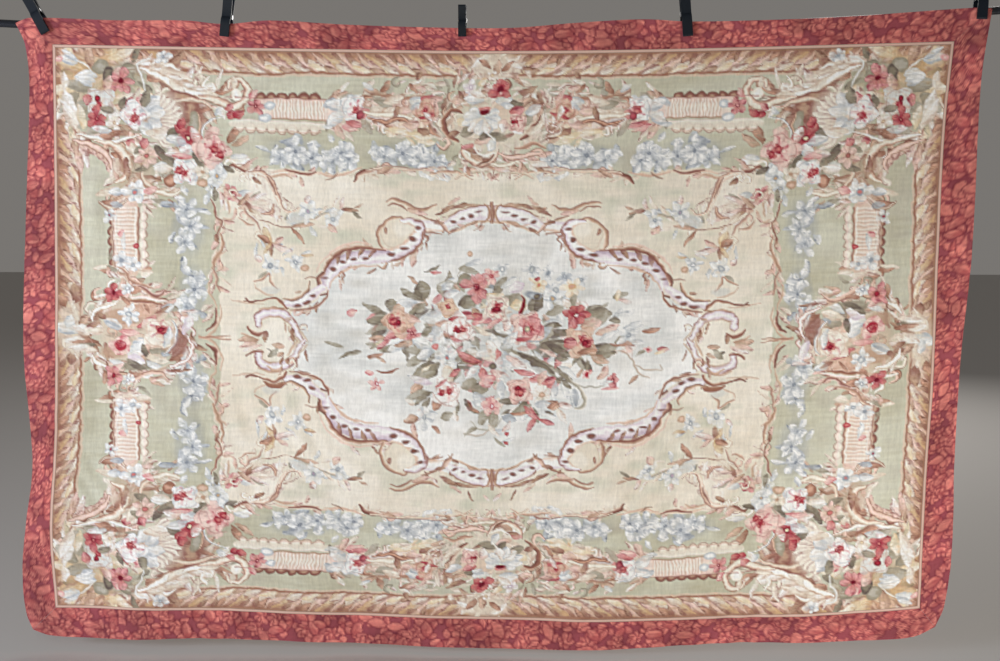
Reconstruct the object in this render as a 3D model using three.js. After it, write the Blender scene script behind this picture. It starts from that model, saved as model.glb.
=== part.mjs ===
// A woven tapestry with a printed cotton border, hung from a round crossbar with five spring clamps.
// Millimetres. X runs along the bar to the right of someone who faces the cloth, Y runs away from
// them and Z runs up. The origin is the middle of the bar's centre line.

import * as THREE from 'three';

// Gap that pieces keep where they touch
const GAP = 0.3;

// Crossbar: a plain tube that bows under the cloth's weight and rises a little to the right
const BAR = { length: 3000, radius: 11, sides: 16, steps: 24, sag: 49, rise: 15 };

// Thickness of each layer, and the width of the flat edging between panel and border
const PANEL_THICKNESS = 3;
const EDGING_THICKNESS = 3;
const BORDER_THICKNESS = 2;
const EDGING_WIDTH = 8;

// Stations across and down the cloth, shared by its pieces so that their facets meet
const ACROSS = 46;
const DOWN = 30;

// Where the border meets the edging. The weave is a little out of square.
const PANEL_TOP = [
  { x: -1284, z: -30 }, { x: -464, z: -46 }, { x: -11, z: -52 }, { x: 466, z: -48 }, { x: 1251, z: -30 },
];
const PANEL_BOTTOM = [
  { x: -1351, z: -1692 }, { x: -863, z: -1695 }, { x: -492, z: -1709 }, { x: -11, z: -1713 },
  { x: 465, z: -1710 }, { x: 1008, z: -1682 }, { x: 1227, z: -1665 },
];
const PANEL_LEFT = [
  { x: -1284, z: -30 }, { x: -1296, z: -480 }, { x: -1309, z: -844 }, { x: -1328, z: -1180 },
  { x: -1356, z: -1450 }, { x: -1351, z: -1692 },
];
const PANEL_RIGHT = [
  { x: 1251, z: -30 }, { x: 1236, z: -272 }, { x: 1234, z: -620 }, { x: 1237, z: -1000 },
  { x: 1230, z: -1260 }, { x: 1227, z: -1665 },
];

// Free edge of the border. The top edge stands this far above the bar's centre line.
const TOP_EDGE = [
  { x: -1388, stand: 2 }, { x: -1345, stand: 18 }, { x: -1090, stand: 21 }, { x: -900, stand: 26 },
  { x: -790, stand: 19 }, { x: -660, stand: 31 }, { x: -450, stand: 22 }, { x: -120, stand: 12 },
  { x: 30, stand: 11 }, { x: 200, stand: 21 }, { x: 390, stand: 26 }, { x: 510, stand: 16 },
  { x: 720, stand: 11 }, { x: 950, stand: 9 }, { x: 1300, stand: 11 }, { x: 1351, stand: 5 },
];
const BOTTOM_EDGE = [
  { x: -1423, z: -1762 }, { x: -1370, z: -1780 }, { x: -1230, z: -1785 }, { x: -866, z: -1783 },
  { x: -252, z: -1801 }, { x: 287, z: -1800 }, { x: 704, z: -1776 }, { x: 1108, z: -1761 },
  { x: 1215, z: -1750 }, { x: 1274, z: -1722 },
];
const LEFT_EDGE = [
  { x: -1388, z: 30 }, { x: -1363, z: -30 }, { x: -1356, z: -150 }, { x: -1383, z: -519 },
  { x: -1409, z: -910 }, { x: -1398, z: -1240 }, { x: -1431, z: -1447 }, { x: -1447, z: -1590 },
  { x: -1441, z: -1710 }, { x: -1423, z: -1762 },
];
const RIGHT_EDGE = [
  { x: 1351, z: 58 }, { x: 1330, z: -140 }, { x: 1328, z: -620 }, { x: 1313, z: -896 },
  { x: 1309, z: -1200 }, { x: 1312, z: -1500 }, { x: 1297, z: -1660 }, { x: 1274, z: -1722 },
];

// Soft folds of the hanging cloth: a middle, a slope in degrees, a half length, a half width, and how
// far the fold stands out towards the viewer. A negative height is a trough.
const FOLDS = [
  { x: -1330, z: -900, slope: 88, long: 520, wide: 70, height: 14 },
  { x: -1180, z: -1150, slope: 84, long: 480, wide: 80, height: -11 },
  { x: -1010, z: -820, slope: 93, long: 620, wide: 110, height: 10 },
  { x: -760, z: -1085, slope: -20, long: 170, wide: 45, height: -8 },
  { x: -560, z: -1290, slope: -14, long: 330, wide: 80, height: 10 },
  { x: -300, z: -470, slope: 4, long: 420, wide: 70, height: 7 },
  { x: -60, z: -1230, slope: 3, long: 380, wide: 75, height: 8 },
  { x: 130, z: -640, slope: 70, long: 300, wide: 90, height: -8 },
  { x: 390, z: -1085, slope: 24, long: 300, wide: 60, height: 11 },
  { x: 520, z: -930, slope: 17, long: 280, wide: 55, height: -7 },
  { x: 640, z: -520, slope: -9, long: 380, wide: 80, height: 7 },
  { x: 800, z: -1330, slope: 76, long: 430, wide: 95, height: -10 },
  { x: 1060, z: -980, slope: 96, long: 640, wide: 90, height: 11 },
  { x: 1270, z: -1250, slope: 88, long: 480, wide: 60, height: -12 },
  { x: -1090, z: -1740, slope: 80, long: 300, wide: 120, height: 16 },
  { x: -420, z: -1740, slope: 98, long: 330, wide: 140, height: -13 },
  { x: 260, z: -1740, slope: 84, long: 320, wide: 150, height: 14 },
  { x: 900, z: -1740, slope: 95, long: 300, wide: 130, height: 12 },
];
// The folds fade in below the bar, between these depths under its centre line
const FOLDS_START = 45;
const FOLDS_FULL = 420;

// Spring clamps: place along the bar, lean in degrees, reach of the jaws below the bar's centre line,
// heights of the pivot and the handles' tops above it, and width
const CLAMPS = [
  { name: 'clamp_1', x: -1312, lean: -28, drop: 26, pivot: 42, top: 96, width: 26 },
  { name: 'clamp_2', x: -788, lean: 7, drop: 16, pivot: 40, top: 94, width: 26 },
  { name: 'clamp_3', x: -117, lean: 0, drop: 12, pivot: 34, top: 76, width: 22 },
  { name: 'clamp_4', x: 512, lean: -5, drop: 25, pivot: 38, top: 96, width: 28 },
  { name: 'clamp_5', x: 1322, lean: 2, drop: 22, pivot: 37, top: 94, width: 28 },
];
const PAD = { height: 20, thickness: 4, margin: 3 };
// A lever's jaw, how far below the pivot its straight part ends, how far it draws in at the pivot, and
// the place and thickness of its handle, measured in from the jaw's outer face
const LEVER = { jaw: 6, bevel: 4, straight: 24, waist: 7, handle: 5, grip: 5, belly: 12 };
const SPRING = { radius: 6, head: 1.5, sides: 16, hold: 65 };

// Height of the bar's centre line at a place along it
function barHeight(x) {
  const u = x / (BAR.length / 2);
  return BAR.sag * u * u + BAR.rise * u;
}

// Cubic curve through the rows of a table: the value of one column where another column is at `at`
function along(table, key, value, at) {
  const rising = table[0][key] < table[table.length - 1][key];
  const rows = rising ? table : [...table].reverse();
  const last = rows.length - 1;
  const slope = (i) => {
    const a = rows[Math.max(i - 1, 0)];
    const b = rows[Math.min(i + 1, last)];
    return (b[value] - a[value]) / (b[key] - a[key]);
  };
  let i = 0;
  while (i < last - 1 && at > rows[i + 1][key]) i += 1;
  const span = rows[i + 1][key] - rows[i][key];
  const u = (at - rows[i][key]) / span;
  const start = (1 + 2 * u) * (1 - u) * (1 - u) * rows[i][value];
  const end = u * u * (3 - 2 * u) * rows[i + 1][value];
  const leave = u * (1 - u) * (1 - u) * span * slope(i);
  const arrive = u * u * (u - 1) * span * slope(i + 1);
  return start + end + leave + arrive;
}

const lerp = THREE.MathUtils.lerp;
const ends = (table) => [table[0], table[table.length - 1]];

// A point on an edge that runs across (s from left to right) or down (t from top to bottom)
function acrossEdge(table, s, value = 'z') {
  const [first, final] = ends(table);
  const x = lerp(first.x, final.x, s);
  return { x, z: along(table, 'x', value, x) };
}
function downEdge(table, t) {
  const [first, final] = ends(table);
  const z = lerp(first.z, final.z, t);
  return { x: along(table, 'z', 'x', z), z };
}
function topEdge(s) {
  const point = acrossEdge(TOP_EDGE, s, 'stand');
  return { x: point.x, z: barHeight(point.x) + point.z };
}

// A point inside the outline where border and edging meet, blended from its four sides
function insidePanel(s, t) {
  const top = acrossEdge(PANEL_TOP, s);
  const bottom = acrossEdge(PANEL_BOTTOM, s);
  const left = downEdge(PANEL_LEFT, t);
  const right = downEdge(PANEL_RIGHT, t);
  const [topLeft, topRight] = ends(PANEL_TOP);
  const [bottomLeft, bottomRight] = ends(PANEL_BOTTOM);
  const blend = (axis) => {
    const corners = lerp(
      lerp(topLeft[axis], topRight[axis], s),
      lerp(bottomLeft[axis], bottomRight[axis], s),
      t,
    );
    return lerp(top[axis], bottom[axis], t) + lerp(left[axis], right[axis], s) - corners;
  };
  return { x: blend('x'), z: blend('z') };
}

// Where the middle of the cloth lies in depth: against the bar's front at the top, then in soft folds
const CLOTH_FRONT = -(BAR.radius + GAP + BORDER_THICKNESS / 2);
function clothDepth(x, z) {
  const below = barHeight(x) - z;
  const fade = THREE.MathUtils.smoothstep(below, FOLDS_START, FOLDS_FULL);
  let out = 0;
  for (const fold of FOLDS) {
    const angle = THREE.MathUtils.degToRad(fold.slope);
    const dx = x - fold.x;
    const dz = z - fold.z;
    const u = (dx * Math.cos(angle) + dz * Math.sin(angle)) / fold.long;
    const v = (dz * Math.cos(angle) - dx * Math.sin(angle)) / fold.wide;
    out += fold.height * Math.exp(-u * u - v * v);
  }
  return CLOTH_FRONT - fade * out;
}

// A closed sheet of even thickness over a grid of places on the cloth. place(u, v) gives x and z for
// u from left to right and v from top to bottom of the piece.
function sheet(place, columns, rows, thickness) {
  const positions = [];
  const index = [];
  const count = (columns + 1) * (rows + 1);
  for (const side of [-1, 1]) {
    for (let j = 0; j <= rows; j += 1) {
      for (let i = 0; i <= columns; i += 1) {
        const { x, z } = place(i / columns, j / rows);
        positions.push(x, clothDepth(x, z) + side * thickness / 2, z);
      }
    }
  }
  const at = (i, j, back) => j * (columns + 1) + i + (back ? count : 0);
  const quad = (a, b, c, d) => index.push(a, b, c, a, c, d);
  for (let j = 0; j < rows; j += 1) {
    for (let i = 0; i < columns; i += 1) {
      quad(at(i, j), at(i, j + 1), at(i + 1, j + 1), at(i + 1, j));
      quad(at(i, j, true), at(i + 1, j, true), at(i + 1, j + 1, true), at(i, j + 1, true));
    }
  }
  for (let i = 0; i < columns; i += 1) {
    quad(at(i, 0), at(i + 1, 0), at(i + 1, 0, true), at(i, 0, true));
    quad(at(i, rows), at(i, rows, true), at(i + 1, rows, true), at(i + 1, rows));
  }
  for (let j = 0; j < rows; j += 1) {
    quad(at(0, j), at(0, j, true), at(0, j + 1, true), at(0, j + 1));
    quad(at(columns, j), at(columns, j + 1), at(columns, j + 1, true), at(columns, j, true));
  }
  const geometry = new THREE.BufferGeometry();
  geometry.setAttribute('position', new THREE.Float32BufferAttribute(positions, 3));
  geometry.setIndex(index);
  geometry.computeVertexNormals();
  return geometry;
}

// Flat width and drop of the area inside the border, which turn millimetres into shares of it
const [TOP_LEFT, TOP_RIGHT] = ends(PANEL_TOP);
const FLAT_WIDTH = TOP_RIGHT.x - TOP_LEFT.x;
const FLAT_DROP = PANEL_LEFT[0].z - PANEL_LEFT[PANEL_LEFT.length - 1].z;

// A place given by its share across and down, kept this many millimetres inside the border
function inset(s, t, margin) {
  return insidePanel(
    lerp(margin / FLAT_WIDTH, 1 - margin / FLAT_WIDTH, s),
    lerp(margin / FLAT_DROP, 1 - margin / FLAT_DROP, t),
  );
}

// The four sides, as shares across and down of a place `along` the side
const SIDES = [
  { name: 'top', count: ACROSS, s: (a) => a, t: () => 0 },
  { name: 'right', count: DOWN, s: () => 1, t: (a) => a },
  { name: 'bottom', count: ACROSS, s: (a) => 1 - a, t: () => 1 },
  { name: 'left', count: DOWN, s: () => 0, t: (a) => 1 - a },
];
const FREE_EDGES = {
  top: (s) => topEdge(s),
  right: (s, t) => downEdge(RIGHT_EDGE, t),
  bottom: (s) => acrossEdge(BOTTOM_EDGE, s),
  left: (s, t) => downEdge(LEFT_EDGE, t),
};

// The woven panel: one rectangular cloth inside the edging
function panelGeometry() {
  const margin = GAP + EDGING_WIDTH + GAP;
  return sheet((u, v) => inset(u, v, margin), ACROSS, DOWN, PANEL_THICKNESS);
}

// Shortens a run by the gap at both of its mitred ends
const mitred = (u, run) => lerp(GAP / run, 1 - GAP / run, u);

// One length of the narrow edging tape, mitred at its ends
function edgingGeometry(side) {
  const run = side.count === ACROSS ? FLAT_WIDTH : FLAT_DROP;
  return sheet((u, v) => {
    const a = mitred(u, run);
    return inset(side.s(a), side.t(a), lerp(GAP, GAP + EDGING_WIDTH, v));
  }, side.count, 1, EDGING_THICKNESS);
}

// One strip of the printed border, mitred at its ends, from its free edge in to the edging
function borderGeometry(side) {
  const run = side.count === ACROSS ? FLAT_WIDTH : FLAT_DROP;
  return sheet((u, v) => {
    const a = mitred(u, run);
    const inner = insidePanel(side.s(a), side.t(a));
    const outer = FREE_EDGES[side.name](side.s(a), side.t(a));
    return { x: lerp(outer.x, inner.x, v), z: lerp(outer.z, inner.z, v) };
  }, side.count, 2, BORDER_THICKNESS);
}

// The crossbar's bowed centre line
class BarLine extends THREE.Curve {
  getPoint(t, target = new THREE.Vector3()) {
    const x = lerp(-BAR.length / 2, BAR.length / 2, t);
    return target.set(x, 0, barHeight(x));
  }
}

function barGeometry() {
  const section = new THREE.Shape();
  section.absarc(0, 0, BAR.radius, 0, 2 * Math.PI);
  return new THREE.ExtrudeGeometry(section, {
    extrudePath: new BarLine(),
    steps: BAR.steps,
    curveSegments: BAR.sides,
  });
}

// Half of the opening between a clamp's two pads, and the plane midway between them
const PADS_FRONT = BAR.radius + BORDER_THICKNESS + 2 * GAP;
const PADS_BACK = BAR.radius + GAP;
const OPENING = (PADS_FRONT + PADS_BACK) / 2;
const MIDDLE = (PADS_BACK - PADS_FRONT) / 2;

// Side view of one lever, drawn outwards and upwards from the clamp's mid plane: a jaw behind its pad,
// a waist hollowed round the spring, and a handle that spreads towards the top
function leverShape({ drop, pivot, top }) {
  const inner = OPENING + PAD.thickness + GAP;
  const outer = inner + LEVER.jaw;
  const waist = outer - LEVER.waist;
  const handle = outer - LEVER.handle;
  const hollow = SPRING.radius + GAP;
  const hold = THREE.MathUtils.degToRad(SPRING.hold);
  const shape = new THREE.Shape();
  shape.moveTo(inner, -drop);
  shape.lineTo(outer - LEVER.bevel / 2, -drop);
  shape.lineTo(outer, LEVER.bevel - drop);
  shape.lineTo(outer, pivot - LEVER.straight);
  shape.quadraticCurveTo(outer, pivot - LEVER.bevel, waist, pivot);
  shape.quadraticCurveTo(waist - LEVER.bevel / 2, pivot + LEVER.belly, handle, top - LEVER.grip);
  shape.quadraticCurveTo(handle, top, handle - LEVER.grip / 2, top);
  shape.lineTo(handle - LEVER.grip, top);
  shape.quadraticCurveTo(
    handle - 2 * LEVER.grip, pivot + LEVER.belly + LEVER.grip,
    hollow * Math.cos(hold), pivot + hollow * Math.sin(hold),
  );
  shape.absarc(0, pivot, hollow, hold, -hold, true);
  shape.quadraticCurveTo(inner, pivot - 2 * LEVER.bevel, inner, pivot - LEVER.belly);
  shape.closePath();
  return shape;
}

// The shape's axes become depth and height, and its thickness runs along the bar
function leverGeometry(clamp) {
  const geometry = new THREE.ExtrudeGeometry(leverShape(clamp), {
    depth: clamp.width, curveSegments: 6, bevelEnabled: false,
  });
  geometry.translate(0, 0, -clamp.width / 2);
  geometry.applyMatrix4(new THREE.Matrix4().makeBasis(
    new THREE.Vector3(0, 1, 0), new THREE.Vector3(0, 0, 1), new THREE.Vector3(1, 0, 0),
  ));
  return geometry;
}

function springGeometry(clamp) {
  const length = clamp.width + 2 * SPRING.head;
  const geometry = new THREE.CylinderGeometry(SPRING.radius, SPRING.radius, length, SPRING.sides);
  geometry.rotateZ(Math.PI / 2);
  geometry.translate(0, 0, clamp.pivot);
  return geometry;
}

function padGeometry(clamp) {
  const geometry = new THREE.BoxGeometry(clamp.width - PAD.margin, PAD.thickness, PAD.height);
  geometry.translate(0, OPENING + PAD.thickness / 2, 0);
  return geometry;
}

const material = (color, roughness, metalness = 0) =>
  new THREE.MeshStandardMaterial({ color, roughness, metalness });
const WEAVE = material(0xd8cbb0, 0.95);
const EDGING = material(0xd9b694, 0.9);
const PRINT = material(0x964648, 0.9);
const BAR_PAINT = material(0x0b0d12, 0.25);
const CLAMP_PLASTIC = material(0x15171a, 0.5);
const PAD_RUBBER = material(0x0d0d0d, 0.8);
const SPRING_STEEL = material(0xb9bcc0, 0.3, 1);

function mesh(name, geometry, finish) {
  const piece = new THREE.Mesh(geometry, finish);
  piece.name = name;
  return piece;
}

// One spring clamp, square to the bar where it grips, with its lean added. The front lever and pad are
// the back ones turned round.
function clampGroup(clamp) {
  const { name } = clamp;
  const group = new THREE.Group();
  group.position.set(clamp.x, MIDDLE, barHeight(clamp.x));
  group.rotation.y = THREE.MathUtils.degToRad(clamp.lean);
  const front = new THREE.Group();
  front.rotation.z = Math.PI;
  front.add(mesh(`${name}_front_lever`, leverGeometry(clamp), CLAMP_PLASTIC));
  front.add(mesh(`${name}_front_pad`, padGeometry(clamp), PAD_RUBBER));
  group.add(front);
  group.add(mesh(`${name}_back_lever`, leverGeometry(clamp), CLAMP_PLASTIC));
  group.add(mesh(`${name}_back_pad`, padGeometry(clamp), PAD_RUBBER));
  group.add(mesh(`${name}_spring`, springGeometry(clamp), SPRING_STEEL));
  return group;
}

const tapestry = new THREE.Group();
tapestry.add(mesh('tapestry_panel', panelGeometry(), WEAVE));
for (const side of SIDES) {
  tapestry.add(mesh(`edging_${side.name}`, edgingGeometry(side), EDGING));
  tapestry.add(mesh(`border_${side.name}`, borderGeometry(side), PRINT));
}
tapestry.add(mesh('crossbar', barGeometry(), BAR_PAINT));
for (const clamp of CLAMPS) tapestry.add(clampGroup(clamp));

export default tapestry;
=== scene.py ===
"""A woven tapestry with a printed cotton border, hung from a bowed crossbar by five spring clamps.

Metres. X runs along the bar, Y away from the viewer, Z up; the origin is the middle of the bar's
centre line. The cloth's shape and pattern are worked out in millimetres and turned into metres in the
meshes: x, z are places on the hanging cloth, flat x, flat z on the flat cloth from its middle.
"""

from math import radians

import bpy
import numpy as np
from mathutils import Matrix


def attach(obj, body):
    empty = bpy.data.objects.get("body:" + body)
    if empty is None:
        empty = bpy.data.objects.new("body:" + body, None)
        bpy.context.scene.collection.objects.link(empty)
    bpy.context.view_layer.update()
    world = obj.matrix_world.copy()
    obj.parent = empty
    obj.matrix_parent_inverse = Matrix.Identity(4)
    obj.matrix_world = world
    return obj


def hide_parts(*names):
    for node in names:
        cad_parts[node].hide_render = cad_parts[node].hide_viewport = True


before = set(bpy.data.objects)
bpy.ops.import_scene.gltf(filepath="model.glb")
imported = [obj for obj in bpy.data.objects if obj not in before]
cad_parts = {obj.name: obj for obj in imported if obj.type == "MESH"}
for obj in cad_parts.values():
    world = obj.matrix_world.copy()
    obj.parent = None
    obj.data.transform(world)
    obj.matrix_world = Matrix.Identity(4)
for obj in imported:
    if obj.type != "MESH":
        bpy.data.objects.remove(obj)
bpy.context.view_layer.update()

# Camera
# Stands 3.6 m in front of the cloth, a little right of its middle, and looks slightly down on it. The
# long lens keeps the whole hem in the picture, with a little of the bar and the clamps above it.
CAMERA_PLACE = (0.1075, -3.5805, -0.3875)
CAMERA_TURN = (radians(90 - 7.3), 0, radians(1.9))
CAMERA_LENS = 44.784

camera = bpy.data.objects.new("camera", bpy.data.cameras.new("camera"))
bpy.context.collection.objects.link(camera)
camera.location = CAMERA_PLACE
camera.rotation_euler = CAMERA_TURN
camera.data.lens = CAMERA_LENS
camera.data.clip_end = 50
bpy.context.scene.camera = camera
bpy.context.scene.view_settings.view_transform = "Standard"

# Hanging shape of the cloth
# Panel, tape and border hang as one cloth, gripped along the top and lying against the bar there. Below
# it they fall in soft folds. The outline, the bar's sag and the folds are the solids' own, in millimetres.
GAP = 0.3
BAR = {"half": 1500.0, "radius": 11.0, "sag": 49.0, "rise": 15.0}
PANEL_THICK, EDGING_THICK, BORDER_THICK, EDGING_WIDTH = 3.0, 3.0, 2.0, 8.0

# Where border and edging meet: x, z along the top and bottom, z, x down the sides
PANEL_TOP = [(-1284, -30), (-464, -46), (-11, -52), (466, -48), (1251, -30)]
PANEL_BOTTOM = [(-1351, -1692), (-863, -1695), (-492, -1709), (-11, -1713), (465, -1710), (1008, -1682),
                (1227, -1665)]
PANEL_LEFT = [(-30, -1284), (-480, -1296), (-844, -1309), (-1180, -1328), (-1450, -1356), (-1692, -1351)]
PANEL_RIGHT = [(-30, 1251), (-272, 1236), (-620, 1234), (-1000, 1237), (-1260, 1230), (-1665, 1227)]

# Free edge of the border. The top edge is x and its stand above the bar's centre line.
TOP_EDGE = [(-1388, 2), (-1345, 18), (-1090, 21), (-900, 26), (-790, 19), (-660, 31), (-450, 22), (-120, 12),
            (30, 11), (200, 21), (390, 26), (510, 16), (720, 11), (950, 9), (1300, 11), (1351, 5)]
BOTTOM_EDGE = [(-1423, -1762), (-1370, -1780), (-1230, -1785), (-866, -1783), (-252, -1801), (287, -1800),
               (704, -1776), (1108, -1761), (1215, -1750), (1274, -1722)]
LEFT_EDGE = [(30, -1388), (-30, -1363), (-150, -1356), (-519, -1383), (-910, -1409), (-1240, -1398),
             (-1447, -1431), (-1590, -1447), (-1710, -1441), (-1762, -1423)]
RIGHT_EDGE = [(58, 1351), (-140, 1330), (-620, 1328), (-896, 1313), (-1200, 1309), (-1500, 1312),
              (-1660, 1297), (-1722, 1274)]

# Folds: middle x and z, slope in degrees, half length, half width, and how far each stands out
FOLDS = [
    (-1330, -900, 88, 520, 70, 14), (-1180, -1150, 84, 480, 80, -11), (-1010, -820, 93, 620, 110, 10),
    (-760, -1085, -20, 170, 45, -8), (-560, -1290, -14, 330, 80, 10), (-300, -470, 4, 420, 70, 7),
    (-60, -1230, 3, 380, 75, 8), (130, -640, 70, 300, 90, -8), (390, -1085, 24, 300, 60, 11),
    (520, -930, 17, 280, 55, -7), (640, -520, -9, 380, 80, 7), (800, -1330, 76, 430, 95, -10),
    (1060, -980, 96, 640, 90, 11), (1270, -1250, 88, 480, 60, -12), (-1090, -1740, 80, 300, 120, 16),
    (-420, -1740, 98, 330, 140, -13), (260, -1740, 84, 320, 150, 14), (900, -1740, 95, 300, 130, 12),
]
FOLDS_START, FOLDS_FULL = 45.0, 420.0

# Faint drag lines of the sag: arcs round the middle of the cloth that show in its lower half
DRAG = {"x": -60.0, "z": -800.0, "spacing": 56.0, "height": 1.6, "below": (850, 1300)}
CRINKLE = 1.4

# Small puckers of the weave, in the same terms as the folds
PUCKERS = [
    (-777, -1092, -15, 130, 24, -6), (-632, -1150, -30, 110, 22, 5), (-720, -1210, -12, 140, 24, -5),
    (-415, -872, 10, 140, 24, -5), (-313, -995, -20, 120, 24, 5), (-473, -652, 35, 110, 24, -5),
    (397, -1054, 24, 150, 24, 7), (296, -1121, 18, 140, 24, -5), (238, -755, 60, 130, 28, -5.5),
    (644, -1121, -35, 130, 24, -7), (557, -1195, -35, 140, 24, 7), (716, -1239, -40, 130, 22, -6),
    (615, -1019, 20, 130, 26, 5), (934, -1195, 80, 150, 26, -5), (1079, -784, 85, 160, 28, 5),
    (-951, -784, 80, 160, 28, -5), (-23, -1283, 5, 180, 26, -5), (-603, -1312, -18, 140, 26, 5),
    (151, -579, 75, 110, 28, -5), (-820, -1420, 20, 140, 26, 5), (830, -1440, -15, 160, 26, -5),
    (-1180, -500, 86, 140, 24, 5), (1150, -1380, 70, 130, 24, 5.5), (-150, -1150, 12, 150, 26, 5),
]


def lattice_noise(x, z, seed):
    """Smooth noise near -1 to 1: random values on a unit lattice, blended by smoothstep."""
    table = np.random.default_rng(seed).uniform(-1, 1, (64, 64))
    i, j = np.floor(x).astype(int), np.floor(z).astype(int)
    u, v = x - i, z - j
    u, v = u * u * (3 - 2 * u), v * v * (3 - 2 * v)
    a, b = table[j % 64, i % 64], table[j % 64, (i + 1) % 64]
    c, d = table[(j + 1) % 64, i % 64], table[(j + 1) % 64, (i + 1) % 64]
    return (a + (b - a) * u) * (1 - v) + (c + (d - c) * u) * v


def smooth(x, low=0.0, high=1.0):
    """Smoothstep from 0 at low to 1 at high."""
    t = np.clip((x - low) / (high - low), 0, 1)
    return t * t * (3 - 2 * t)


def bar_height(x):
    """Height of the bar's centre line: it sags to both sides and rises to the right."""
    u = x / BAR["half"]
    return BAR["sag"] * u * u + BAR["rise"] * u


def along_table(table, at):
    """Cubic curve through the rows of a table, with slopes taken from each row's neighbours."""
    key, value = np.array(sorted(table), float).T
    last = len(key) - 1
    before, after = np.maximum(np.arange(last + 1) - 1, 0), np.minimum(np.arange(last + 1) + 1, last)
    slope = (value[after] - value[before]) / (key[after] - key[before])
    i = np.searchsorted(key[1:-1], at)
    span = key[i + 1] - key[i]
    u = (at - key[i]) / span
    ends = (1 + 2 * u) * (1 - u) ** 2 * value[i] + u * u * (3 - 2 * u) * value[i + 1]
    return ends + u * (1 - u) ** 2 * span * slope[i] + u * u * (u - 1) * span * slope[i + 1]


def across_edge(table, s):
    """A point on an edge that runs across, s from left to right."""
    x = table[0][0] + s * (table[-1][0] - table[0][0])
    return x, along_table(table, x)


def down_edge(table, t):
    """A point on an edge that runs down, t from top to bottom."""
    z = table[0][0] + t * (table[-1][0] - table[0][0])
    return along_table(table, z), z


def top_edge(s):
    """The border's free top edge, which stands on the bar's curve."""
    x, stand = across_edge(TOP_EDGE, s)
    return x, bar_height(x) + stand


def inside_panel(s, t):
    """A point inside the border, blended from the four sides of its outline."""
    top, bottom = across_edge(PANEL_TOP, s), across_edge(PANEL_BOTTOM, s)
    left, right = down_edge(PANEL_LEFT, t), down_edge(PANEL_RIGHT, t)
    corner = (PANEL_TOP[0], PANEL_TOP[-1], PANEL_BOTTOM[0], PANEL_BOTTOM[-1])
    place = []
    for k in (0, 1):
        a, b, c, d = (p[k] for p in corner)
        corners = (a + (b - a) * s) * (1 - t) + (c + (d - c) * s) * t
        place.append(top[k] + (bottom[k] - top[k]) * t + left[k] + (right[k] - left[k]) * s - corners)
    return place


FLAT_WIDTH = PANEL_TOP[-1][0] - PANEL_TOP[0][0]
FLAT_DROP = PANEL_LEFT[0][0] - PANEL_LEFT[-1][0]


def inset(s, t, margin):
    """A place by its share across and down, kept this far inside the border."""
    a, b = margin / FLAT_WIDTH, margin / FLAT_DROP
    return inside_panel(a + (1 - 2 * a) * s, b + (1 - 2 * b) * t)


def bells(rows, x, z):
    """Sum of a bell for each row: height times exp(-u*u - v*v), u along the fold and v across it."""
    out = 0
    for fold_x, fold_z, slope, long, wide, height in rows:
        c, s = np.cos(radians(slope)), np.sin(radians(slope))
        u = ((x - fold_x) * c + (z - fold_z) * s) / long
        v = ((z - fold_z) * c - (x - fold_x) * s) / wide
        out = out + height * np.exp(-u * u - v * v)
    return out


def drag_lines(x, z):
    """Sine waves of the distance from the sag's middle, stronger in patches and towards the hem."""
    far = np.hypot(x - DRAG["x"], z - DRAG["z"]) + 40 * lattice_noise(x / 260, z / 200, 22)
    patches = np.clip(0.5 + 0.9 * lattice_noise(x / 170, z / 130, 23), 0, 1)
    strong = smooth(-z, *DRAG["below"]) * patches
    return DRAG["height"] * np.sin(2 * np.pi * far / DRAG["spacing"]) * strong


def cloth_depth(x, z):
    """Depth of the cloth's middle: against the bar at the top, then out and in over folds and creases."""
    fade = smooth(bar_height(x) - z, FOLDS_START, FOLDS_FULL)
    out = bells(FOLDS + PUCKERS, x, z) + drag_lines(x, z) + CRINKLE * lattice_noise(x / 55, z / 38, 21)
    return -(BAR["radius"] + GAP + BORDER_THICK / 2) - fade * out


def new_piece(name, points, faces, smooth_angle=40.0):
    """A mesh from points in millimetres and faces of any size, given as lists of equal-sided blocks."""
    mesh = bpy.data.meshes.new(name)
    sizes = np.concatenate([np.full(len(block), block.shape[1]) for block in faces])
    corners = np.concatenate([block.ravel() for block in faces]).astype(np.int32)
    mesh.vertices.add(len(points))
    mesh.vertices.foreach_set("co", (np.asarray(points, np.float32) / 1000).ravel())
    mesh.loops.add(len(corners))
    mesh.loops.foreach_set("vertex_index", corners)
    mesh.polygons.add(len(sizes))
    starts = np.concatenate([[0], np.cumsum(sizes)[:-1]]).astype(np.int32)
    mesh.polygons.foreach_set("loop_start", starts)
    mesh.polygons.foreach_set("loop_total", sizes.astype(np.int32))
    mesh.polygons.foreach_set("use_smooth", np.ones(len(sizes), bool))
    mesh.update(calc_edges=True)
    mesh.set_sharp_from_angle(angle=radians(smooth_angle))
    piece = bpy.data.objects.new(name, mesh)
    bpy.context.collection.objects.link(piece)
    return piece


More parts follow.
